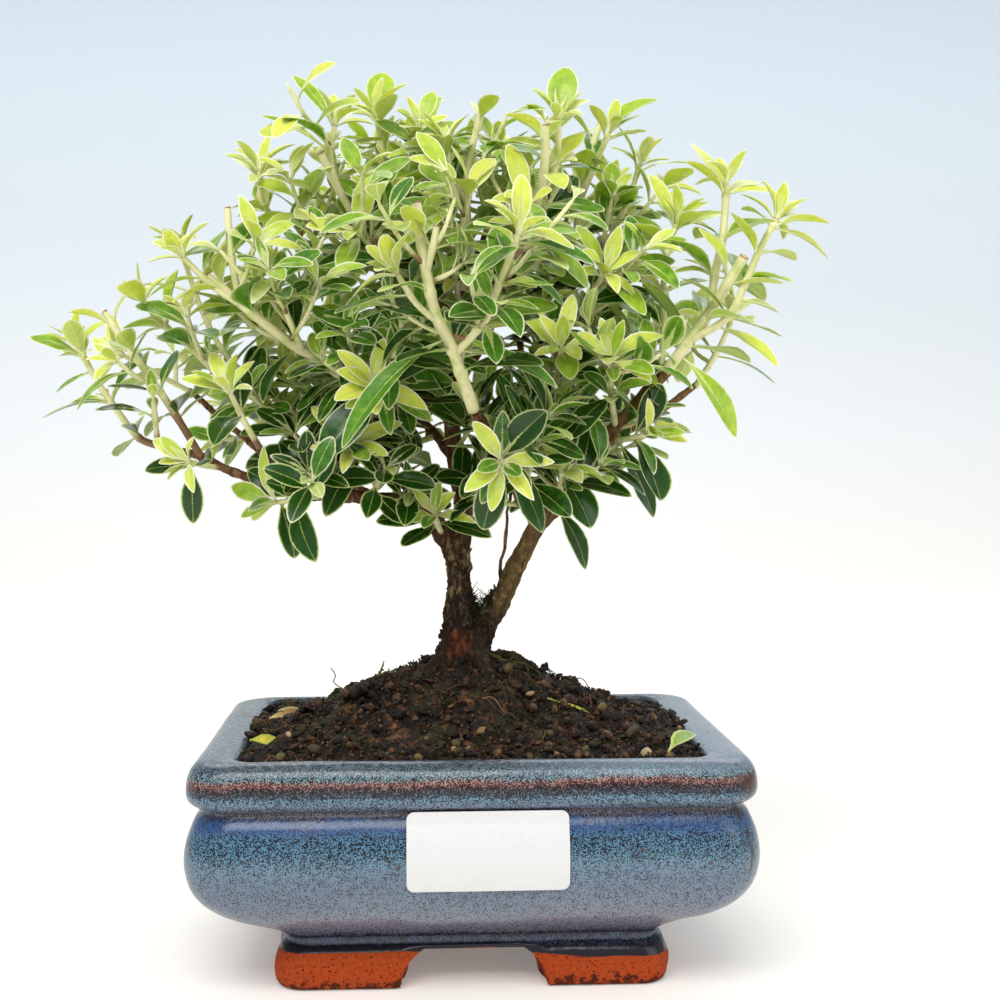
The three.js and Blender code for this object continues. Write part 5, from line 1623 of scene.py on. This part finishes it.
def soilHeight(x, y):
    spread = (x / soilValues["moundLength"]) ** 2 + (y / soilValues["moundDepth"]) ** 2
    broad = 0.9 * np.sin(0.31 * x + 1.3) * np.cos(0.37 * y + 0.4)
    small = 0.5 * np.sin(0.83 * x - 0.6 * y)
    clear = np.minimum(1, np.hypot(x, y) / 12)
    return soilValues["edgeHeight"] + soilValues["mound"] * np.exp(-spread) + (broad + small) * clear


def soilMaterial():
    # damp dark compost: near black in the gaps, brown on the crumbs, with tan fibres in it
    values = soilValues
    m = newMaterial("damp bark and peat compost")
    mm = millimetres(m)
    coarse = noiseAt(m, mm, 0.45, 5, 0.6)
    fine = noiseAt(m, mm, 2.2, 4, 0.7)
    tone = times(m, pointValue(m, "relief"), 0.4, coarse)
    colour = rampOf(m, tone, [
        (0.34, "#070301"), (0.5, values["dark"]), (0.64, values["middle"]), (0.86, values["light"]),
    ])
    colour = mix(m, ease(m, fine, 0.6, 0.7, 0, 0.5), colour, "#8a6238")
    # a green bloom of moss in broad patches
    green = ease(m, times(m, noiseAt(m, mm, 0.12, 3), fine), 0.27, 0.36, 0, 0.6)
    colour = mix(m, green, colour, "#44461a")
    bump = bumpOf(m, maths(m, "ADD", coarse, fine), 0.8, 0.0005)
    shine = remap(m, fine, 0.35, 0.6, 0.36, 0.8)
    return finished(m, {
        "Base Color": colour, "Roughness": shine, "Normal": bump, "Specular IOR Level": 0.42,
    })


def toneMaterial(name, ramp, scale, rough):
    # each bit takes its own colour from its tone, broken up by fine noise
    m = newMaterial(name)
    mm = millimetres(m)
    tone = pointValue(m, "relief")
    grain = noiseAt(m, mm, scale, 4)
    colour = rampOf(m, times(m, grain, 0.3, tone), ramp)
    bump = bumpOf(m, grain, 0.6, 0.0003)
    return finished(m, {
        "Base Color": colour, "Roughness": rough, "Normal": bump, "Specular IOR Level": 0.35,
    })


def insideSoil(x, y, margin=0.8):
    # inside the rounded opening of the pot
    halfLength, halfDepth = (half - soilValues["looseGap"] for half in halfOpening)
    corner = potValues["innerCorner"]
    px, py = abs(x) - (halfLength - corner), abs(y) - (halfDepth - corner)
    if px > 0 and py > 0:
        return math.hypot(px, py) < corner - margin
    return abs(x) < halfLength - margin and abs(y) < halfDepth - margin


def soilSurface():
    halfLength, halfDepth = (half - soilValues["gap"] for half in halfOpening)
    size = [int(2 * half / soilValues["grain"]) for half in (halfLength, halfDepth)]
    gx, gy = roundedGrid(halfLength, halfDepth, potValues["innerCorner"], *size)
    z = soilHeight(gx, gy)
    flat = np.column_stack([gx.ravel(), gy.ravel(), np.zeros(gx.size)])
    lumps = roughness(flat, 0.16, 2, 21) * 1.3
    clods = roughness(flat, 0.55, 3, 22) * 0.9
    fine = roughness(flat, 1.3, 2, 23) * 0.35
    edge = np.minimum(halfLength - np.abs(gx), halfDepth - np.abs(gy)).ravel()
    rise = (lumps + np.abs(clods) * 1.4 + fine - 0.4) * np.clip(0.35 + edge / 4, 0, 1)
    points = np.column_stack([gx.ravel(), gy.ravel(), z.ravel() + rise])
    points[:, 2] -= 0.8 * np.clip(1 - edge / 1.5, 0, 1)
    relief = np.clip(0.5 + (clods + fine) * 0.6, 0, 1) - 0.5
    faces, border = gridFaces(*size), gridBorder(*size)
    # down the inside of the pot to its floor
    rim = points[border]
    ring = len(border)
    lower = []
    for inset, z in ((0.3, 40), (0.3, 30), (3.3, 24.6), (9.3, 20.2), (16.3, 16.2), (19.3, 14.6)):
        row = rim * ((halfLength - inset) / halfLength, (halfDepth - inset * baseShare) / halfDepth, 0)
        lower.append(row + (0, 0, z))
    start = len(points)
    rows = [border] + [list(range(start + k * ring, start + (k + 1) * ring)) for k in range(len(lower))]
    for upper, below in zip(rows, rows[1:]):
        for i in range(ring):
            j = (i + 1) % ring
            faces.append([upper[i], below[i], below[j], upper[j]])
    faces.append(rows[-1][::-1])
    relief = np.concatenate([relief, np.zeros(ring * len(lower))])
    return np.vstack([points] + lower), faces, relief


def roundBall(level):
    bpy.ops.mesh.primitive_ico_sphere_add(subdivisions=level, radius=1)
    ball = bpy.context.object
    points = np.array([v.co[:] for v in ball.data.vertices])
    faces = [list(p.vertices) for p in ball.data.polygons]
    bpy.data.objects.remove(ball)
    return points, faces


ballPoints, ballFaces = roundBall(2)
beadPoints, beadFaces = roundBall(1)


def turned(points, turn, tilt, roll):
    a, b, c = math.cos(turn), math.cos(tilt), math.cos(roll)
    d, e, f = math.sin(turn), math.sin(tilt), math.sin(roll)
    matrix = np.array([[a, -d, 0], [d, a, 0], [0, 0, 1]])
    matrix = matrix @ np.array([[b, 0, e], [0, 1, 0], [-e, 0, b]])
    matrix = matrix @ np.array([[1, 0, 0], [0, c, -f], [0, f, c]])
    return points @ matrix.T


def lump(size, flat, jag, seed):
    shape = ballPoints * (1 + jag * roughness(ballPoints + seed, 0.9, 2, 1))[:, None]
    shape = shape * (size, size * digging.uniform(0.6, 0.95), size * flat)
    return turned(shape, digging.uniform(0, 6.3), digging.uniform(-0.5, 0.5), digging.uniform(-0.5, 0.5))


def underLeaf(x, y):
    for leaf in droppedLeaves:
        half = leaf.length / 2
        middle = leaf.x + half * math.cos(leaf.heading), leaf.y + half * math.sin(leaf.heading)
        if math.dist((x, y), middle) <= soilValues["leafRoom"]:
            return True
    return False


def soilPlace(spread=1.0):
    # a place on the soil, clear of the trunk and the fallen leaves
    while True:
        x, y = digging.uniform(-50, 50), digging.uniform(-38, 38)
        clearOfTrunk = math.hypot(x / 1.1, y) > soilValues["trunkRoom"] * spread
        if clearOfTrunk and insideSoil(x, y) and not underLeaf(x, y):
            return x, y


def lay(parts, shape, faces, place, low, high):
    # one bit on the soil, in one tone between the two
    parts.add(shape + place, faces, relief=digging.uniform(low, high))


def thread(points, radius, sides=5):
    radii = np.full(len(points), radius)
    radii[0] = radii[-1] = radius * 0.5
    return tubeRings(points, radii, sides).reshape(-1, 3), skinFaces(len(points), sides)


def addCrumbs(parts):
    # crumbs gather in clods, with bare hollows between them
    for i in range(soilValues["crumbs"]):
        x, y = soilPlace()
        if noise.noise(Vector((x * 0.14, y * 0.14, 3.3))) < -0.12 and digging.random() < 0.7:
            continue
        size = 0.24 + 1.1 * digging.random() ** 3.2
        height = float(soilHeight(x, y)) + size * digging.uniform(0.1, 0.9) + digging.uniform(0, 0.5)
        shape = lump(size, digging.uniform(0.45, 1.0), 1.1, i * 0.37)
        lay(parts, shape, ballFaces, (x, y, height), -0.5, 0.45)


def addGrit(parts):
    # fine broken bits that cover the mound between the crumbs
    for _ in range(soilValues["grit"]):
        x, y = soilPlace()
        size = digging.uniform(0.14, 0.42)
        height = float(soilHeight(x, y)) + digging.uniform(0.2, 1.2)
        stretch = np.array([digging.uniform(0.5, 1.6), digging.uniform(0.5, 1.2), digging.uniform(0.4, 1.1)])
        shape = turned(beadPoints * stretch * size, digging.uniform(0, 6.3), digging.uniform(-1, 1), 0.3)
        lay(parts, shape, beadFaces, (x, y, height), -0.5, 0.75)


def chipped(size, flat, seed):
    # a stone with worn flat faces
    shape = ballPoints.copy()
    pick = random.Random(seed)
    for _ in range(9):
        way = np.array([pick.gauss(0, 1), pick.gauss(0, 1), pick.gauss(0, 1)])
        way /= np.linalg.norm(way)
        over = np.maximum(shape @ way - pick.uniform(0.5, 0.85), 0)
        shape -= over[:, None] * way
    shape = shape * (size, size * pick.uniform(0.6, 0.95), size * flat)
    return turned(shape, pick.uniform(0, 6.3), pick.uniform(-0.5, 0.5), pick.uniform(-0.6, 0.6))


def addPebbles(parts):
    # the larger stones at the front, then the rest; the last number is the tone
    stones = [
        (36, -19, 2.5, 0.22), (9, -6, 2.2, 0.3), (37.5, -31, 1.9, 0.85), (42.5, -31, 1.5, 0.7),
        (-4, -30, 1.9, 0.25), (12, -33, 1.7, 0.3), (2, -24, 1.5, 0.6), (-34, -29, 1.9, 0.2),
        (-41, -30, 1.6, 0.4), (24, -31, 1.6, 0.35), (17, -24, 1.4, 0.3), (-28, -24, 1.5, 0.5),
        (30, -12, 1.6, 0.45), (-12, -33, 1.4, 0.55),
    ]
    for _ in range(soilValues["pebbles"] - len(stones)):
        stones.append((*soilPlace(1.6), 0.5 + 0.9 * digging.random() ** 2, digging.uniform(0.05, 0.85)))
    for i, (x, y, size, tone) in enumerate(stones):
        shape = chipped(size, digging.uniform(0.55, 0.85), i * 17 + 3)
        height = float(soilHeight(x, y)) + size * 0.4 + 0.3
        parts.add(shape + (x, y, height), ballFaces, relief=tone)


def addFibres(parts):
    for _ in range(soilValues["fibres"]):
        x, y = soilPlace(0.8)
        turn, length = digging.uniform(0, 6.3), digging.uniform(3, 8)
        rise, bend = digging.uniform(0.2, 1.8), digging.uniform(-0.5, 0.5)
        route = []
        for k in range(11):
            step = length / 10
            turn += bend * 0.3 + digging.uniform(-0.25, 0.25)
            x, y = x + step * math.cos(turn), y + step * math.sin(turn)
            if not insideSoil(x, y, 1.0):
                break
            route.append((x, y, float(soilHeight(x, y)) + 0.7 + rise * math.sin(math.pi * k / 10)))
        if len(route) > 4:
            points, faces = thread(route, digging.uniform(0.06, 0.14))
            parts.add(points, faces, relief=digging.uniform(0.1, 0.8))
    # a curled root that stands out of the clod at the left of the mound, and twigs that lie on the right
    curls = [
        ([(-27, -8, 59.5), (-29, -8.3, 60.2), (-31, -8, 61.6), (-30.6, -8, 63.2), (-31.7, -8, 65)], 0.14),
        ([(31, -2, 52.5), (34, -2.4, 53.4), (37, -2, 53), (40, -1, 53.2)], 0.2),
        ([(33, -2.2, 53), (35, -3, 54), (37.5, -4, 54)], 0.15),
    ]
    for route, radius in curls:
        smooth = [pointAt(route, t) for t in np.linspace(0, 1, 14)]
        points, faces = thread(smooth, radius, 6)
        parts.add(points, faces, relief=0.75)


def addChips(parts):
    # thin bits of bark lying about
    for i in range(soilValues["chips"]):
        x, y = soilPlace()
        size = digging.uniform(0.7, 2.0)
        shape = lump(size, 0.16, 0.5, 40 + i)
        height = float(soilHeight(x, y)) + 0.6
        lay(parts, shape, ballFaces, (x, y, height), -0.1, 0.5)


def addClod(parts):
    # the edge of the old root ball, which stands out at the left of the mound
    for i in range(soilValues["clod"]):
        along = digging.random()
        x, y = -29 + 10 * along + digging.gauss(0, 0.5), -8 + 3 * along + digging.gauss(0, 1.2)
        top = 59.3 + 4.2 * along + math.sin(6 * along)
        low = float(soilHeight(x, y))
        size = digging.uniform(0.6, 1.5)
        shape = lump(size, digging.uniform(0.5, 0.9), 1.1, 600 + i)
        height = top - (top - low) * digging.random() ** 1.3 - size * 0.5
        lay(parts, shape, ballFaces, (x, y, height), -0.45, 0.3)


def addMoss(parts):
    # low cushions of olive granules with a few short tips
    for _ in range(soilValues["moss"]):
        x, y = soilPlace(0.9)
        wide, tone = digging.uniform(0.5, 1.5), digging.uniform(-0.15, 0.45)
        for k in range(int(10 + 16 * wide)):
            px, py = x + digging.gauss(0, wide), y + digging.gauss(0, wide * 0.8)
            if not insideSoil(px, py, 1.2):
                continue
            size = digging.uniform(0.16, 0.42)
            base = np.array([px, py, float(soilHeight(px, py)) + 0.5 + digging.uniform(0, 0.7)])
            shade = tone + digging.uniform(-0.15, 0.25)
            if k % 4:
                shape = beadPoints * (size, size * digging.uniform(0.6, 1), size * digging.uniform(0.5, 1))
                parts.add(shape + base, beadFaces, relief=shade)
            else:
                way = np.array([digging.gauss(0, 0.6), digging.gauss(0, 0.6), 1.0])
                length = digging.uniform(0.4, 0.9)
                points, faces = thread([base, base + way * length * 0.5, base + way * length], 0.12, 4)
                parts.add(points, faces, relief=shade)


def addKnobblyRoots(parts):
    # a mossy root from the foot of the trunk on the right, and a mossy sprout on the left of the mound;
    # after each route come its radius and its tone
    routes = [
        ([(3, -4, 68), (6, -6, 67), (9, -7, 66), (13.6, -7, 64.8), (16, -7, 63.2), (16.3, -7, 61)],
         0.42, 0.5),
        ([(9, -7, 66), (11, -8, 66.8), (13, -8.6, 65.8)], 0.2, 0.5),
        ([(13, -7, 65), (13.6, -8, 63), (13, -9, 61)], 0.26, 0.4),
        ([(-21, -4, 60), (-20.6, -4, 62.4), (-20, -4, 64), (-19.5, -4, 65.8)], 0.34, 0.75),
        ([(-20.4, -4, 62.4), (-19.4, -4, 63), (-18, -4, 63.2), (-16.6, -4, 64)], 0.3, 0.75),
    ]
    for i, (route, radius, tone) in enumerate(routes):
        t = np.linspace(0, 1, 30)
        centres = np.array([pointAt(route, place) for place in t])
        radii = radius * (1 + 0.9 * roughness(centres + i * 9, 0.8, 3, 41)) * (1 - 0.5 * t)
        centres += np.column_stack([roughness(centres + k * 5, 0.5, 2, 43) for k in range(3)]) * 0.5
        rows = tubeRings(centres, radii, 7).reshape(-1, 3)
        parts.add(rows, skinFaces(len(centres), 7), relief=tone + 0.3 * roughness(rows, 0.9, 2, 44))


def strew(name, material, *adders):
    parts = Parts()
    for add in adders:
        add(parts)
    parts.piece(name, [material], slot="soil")


compost = soilMaterial()
points, faces, relief = soilSurface()
addPiece("soilSurface", points, faces, [compost], ["soil"], "soil", {"relief": relief})
print("soil faces:", len(faces))
strew("soilCrumbs", compost, addCrumbs, addClod)
strew("soilGrit", compost, addGrit)
strew("pebbles", toneMaterial("small olive and tan gravel", [
    (0.1, "#211c10"), (0.35, "#453d24"), (0.6, "#70623a"), (0.85, "#94744c"), (1.0, "#c0a486"),
], 0.9, 0.75), addPebbles)
strew("rootFibresAndBark", toneMaterial("dry root fibre and bark chips", [
    (0.1, "#180e08"), (0.45, "#402819"), (0.75, "#6b4a2e"), (1.0, "#9c7c58"),
], 1.8, 0.85), addFibres, addChips)
moss, flakes = Parts(), Parts()
for add in (addMoss, addKnobblyRoots, addForkMoss):
    add(moss)
addBarkFlakes(flakes)
flakes.piece("barkFlakes", [bark], slot="bark")
moss.piece("mossTufts", [toneMaterial("low olive moss", [
    (0.1, "#10120a"), (0.45, "#262a12"), (0.75, "#43471e"), (1.0, "#67692f"),
], 2.0, 0.9)], slot="soil")
print("soil is built")


# ---- fallen leaves ----

def dryLeafMaterial(name, ramp, edge, rough=0.65):
    m = newMaterial(name)
    rim, _, vein = pointValues(m, "leafPlace")
    share, _, _ = pointValues(m, "leafSide")
    level = times(m, noiseAt(m, millimetres(m), 0.5, 4), 0.9, share)
    colour = rampOf(m, times(m, level, 0.6), ramp)
    colour = mix(m, ease(m, rim, 0.9, 0.3, 0, 0.85), colour, edge)
    wave = maths(m, "SINE", times(m, vein, 4.2))
    colour = mix(m, ease(m, wave, 0.7, 1.0, 0, 0.3), colour, "#7a6a3c")
    bump = bumpOf(m, wave, 0.3, 0.0001)
    return finished(m, {"Base Color": colour, "Roughness": rough, "Normal": bump})


dryLooks = {
    "yellow": dryLeafMaterial(
        "yellowing leaf", [(0.3, "#e3d24a"), (0.55, "#d6cb40"), (0.85, "#a3b136")], "#a9b53c"
    ),
    "tan": dryLeafMaterial(
        "dry tan leaf", [(0.2, "#cdb77a"), (0.5, "#c0a062"), (0.8, "#94703c")], "#d2bd84"
    ),
    "brown": dryLeafMaterial(
        "dry brown leaf", [(0.2, "#4a2c1d"), (0.5, "#6b4430"), (0.8, "#3f2417")], "#3a2316"
    ),
    "green": dryLeafMaterial(
        "fresh fallen leaf", [(0.2, "#93ad48"), (0.6, "#86a83e"), (1.0, "#7c9c3c")], "#c9d483", 0.4
    ),
}
drySlots = {"yellow": "yellow_leaf", "tan": "yellow_leaf", "brown": "brown_leaf", "green": "leaf"}
for name, x, y, heading, lift, face, length, width in droppedLeaves:
    root = (x, y, float(soilHeight(x, y)) + 2.1)
    way = (math.cos(heading), math.sin(heading), lift)
    leaf = makeLeaf(root, way, face, length, width, 0.03, 0.4)
    parts = Parts()
    addLeaf(parts, leaf)
    parts.piece("fallenLeaf_" + name, [dryLooks[name]], replaces=["fallen_leaf_" + name], slot=drySlots[name])
sliver = Parts()
addLeaf(sliver, makeLeaf((20, -13, 57.5), (1, 0.05, -0.2), (0, -0.4, 1), 8, 1.8, 0.05, 0.1))
stalk = thread([(20, -13, 57.5), (17, -12.6, 58.4), (14.5, -12.4, 58.2)], 0.25)
sliver.add(*stalk, leafPlace=(0, 0, 0), leafKind=(0, 0, 0), leafSide=(0.4, 0, 0))
sliver.piece("leafSliver", [dryLooks["yellow"]], slot="yellow_leaf")
print("fallen leaves are laid")


# ---- label ----

labelValues = {
    "width": 33.5, "low": 24.2, "high": 40.3, "middleX": 2.5, "corner": 1.6, "thickness": 0.32,  # mm
    "proud": 0.22,  # mm from the glaze to its back
    "bridge": 38,  # mm: above this it doesn't follow the groove under the lip
    "columns": 61, "rows": 35,
}


def frontY(z):
    heights = potProfile[:, 1]
    insets = np.array([depthInset(inset, height) for inset, height in potProfile])
    return -(potValues["depth"] / 2 - np.interp(z, heights, insets))


def labelSheet():
    values = labelValues
    halfWidthX, halfHeight = values["width"] / 2, (values["high"] - values["low"]) / 2
    middle = (values["high"] + values["low"]) / 2
    gu, gv = roundedGrid(halfWidthX, halfHeight, values["corner"], values["columns"], values["rows"])
    z = middle + gv
    bridged = np.minimum(frontY(np.minimum(z, values["bridge"])), frontY(z))
    flat = np.column_stack([gu.ravel(), gv.ravel(), np.zeros(gu.size)])
    puckers = roughness(flat, 0.12, 2, 31).reshape(gu.shape) * 0.06
    layers = []
    for away in (values["proud"] + values["thickness"], values["proud"]):
        layers.append(np.column_stack([
            (values["middleX"] + gu).ravel(), (bridged - away + puckers).ravel(), z.ravel()
        ]))
    n, border = gu.size, gridBorder(*gu.shape)
    faces = gridFaces(*gu.shape)
    faces += [[n + i for i in (face[0], *face[:0:-1])] for face in faces]
    for a, b in zip(border, border[1:] + border[:1]):
        faces.append([a, n + a, n + b, b])
    marks = np.zeros(2 * n, bool)
    marks[border] = True
    marks[[n + i for i in border]] = True
    return np.vstack(layers), faces, marks


def paperMaterial():
    # satin white vinyl sticker
    m = newMaterial("satin white vinyl label")
    colour = mix(m, noiseAt(m, millimetres(m), 0.8, 2), "#dadada", "#e2e2e2")
    return finished(m, {"Base Color": colour, "Roughness": 0.42, "IOR": 1.5})


points, faces, marks = labelSheet()
addPiece("blankLabel", points, faces, [paperMaterial()], ["label"], "label", sharp=marks)
print("label is on")


# ---- drain screens keep the shapes of the frame ----

def screenMaterial():
    m = newMaterial("black polypropylene mesh")
    colour = mix(m, noiseAt(m, millimetres(m), 1.5, 2), "#17181a", "#26282b")
    return finished(m, {"Base Color": colour, "Roughness": 0.5})


screenLook = screenMaterial()
for name in ("drain_screen_left", "drain_screen_right"):
    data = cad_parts[name].data
    data.materials.clear()
    data.materials.append(screenLook)


# ---- floor, backdrop and light ----

stageValues = {
    "front": -2.5, "back": 0.9, "bend": 0.5, "height": 2.8, "half": 3.0,  # metres
    "floor": "#f9f5ee", "top": "#c4cad9", "glow": 0.2,
    "keyPower": 9.6, "fillPower": 2.2, "backPower": 3.5, "sky": 0.51,
}


def sweepMaterial():
    # white paper that turns to pale blue higher up; it also glows a little in its own colour, a painted light
    # that brightens the backdrop and floor
    m = newMaterial("pale paper sweep")
    _, _, height = axesOf(m, addNode(m, "TexCoord").outputs["Object"])
    colour = rampOf(m, remap(m, height, 0.0, 1.0), [
        (0.0, stageValues["floor"]), (0.13, "#f1f4f4"), (0.3, "#e6eef3"), (0.55, "#dae7f0"),
        (0.95, stageValues["top"]),
    ])
    return finished(m, {
        "Base Color": colour, "Roughness": 0.9, "Specular IOR Level": 0.1,
        "Emission Color": colour, "Emission Strength": stageValues["glow"],
    })


def buildSweep():
    # the floor bends up behind the plant into the backdrop
    front, back, bend, top, half = (stageValues[name] for name in ("front", "back", "bend", "height", "half"))
    turns = np.linspace(0.1, math.pi / 2, 16)
    profile = [(front, 0.0), (back, 0.0)]
    profile += [(back + bend * math.sin(a), bend - bend * math.cos(a)) for a in turns]
    profile += [(back + bend, top)]
    points = [(x, y, z) for x in (-half, half) for y, z in profile]
    n = len(profile)
    faces = [[i, n + i, n + i + 1, i + 1] for i in range(n - 1)]
    mesh = bpy.data.meshes.new("sweep")
    mesh.from_pydata(points, [], faces)
    mesh.materials.append(sweepMaterial())
    mesh.polygons.foreach_set("use_smooth", np.ones(len(faces), bool))
    sweep = bpy.data.objects.new("sweep", mesh)
    bpy.context.scene.collection.objects.link(sweep)


def addLamp(name, place, target, size, power, colour=(1, 1, 1)):
    data = bpy.data.lights.new(name, "AREA")
    data.shape = "RECTANGLE"
    data.size, data.size_y = size
    data.energy = power
    data.color = colour
    lamp = bpy.data.objects.new(name, data)
    bpy.context.scene.collection.objects.link(lamp)
    lamp.location = place
    lamp.rotation_euler = (Vector(target) - Vector(place)).to_track_quat("-Z", "Y").to_euler()


buildSweep()
addLamp("key", (-0.25, -0.75, 1.0), (0, 0, 0.1), (0.9, 0.6), stageValues["keyPower"])
addLamp("fill", (0.9, -0.6, 0.5), (0, 0, 0.1), (0.6, 0.8), stageValues["fillPower"], (0.94, 0.97, 1))
addLamp("back", (0.1, 0.9, 0.9), (0, 0, 0.15), (1.2, 0.5), stageValues["backPower"])
world = bpy.data.worlds.new("soft room light")
world.use_nodes = True
background = world.node_tree.nodes["Background"]
background.inputs[0].default_value = (0.97, 0.98, 1, 1)
background.inputs[1].default_value = stageValues["sky"]
bpy.context.scene.world = world
bpy.context.scene.view_settings.view_transform = "Standard"
bpy.context.scene.view_settings.look = "None"
print("stage is set")
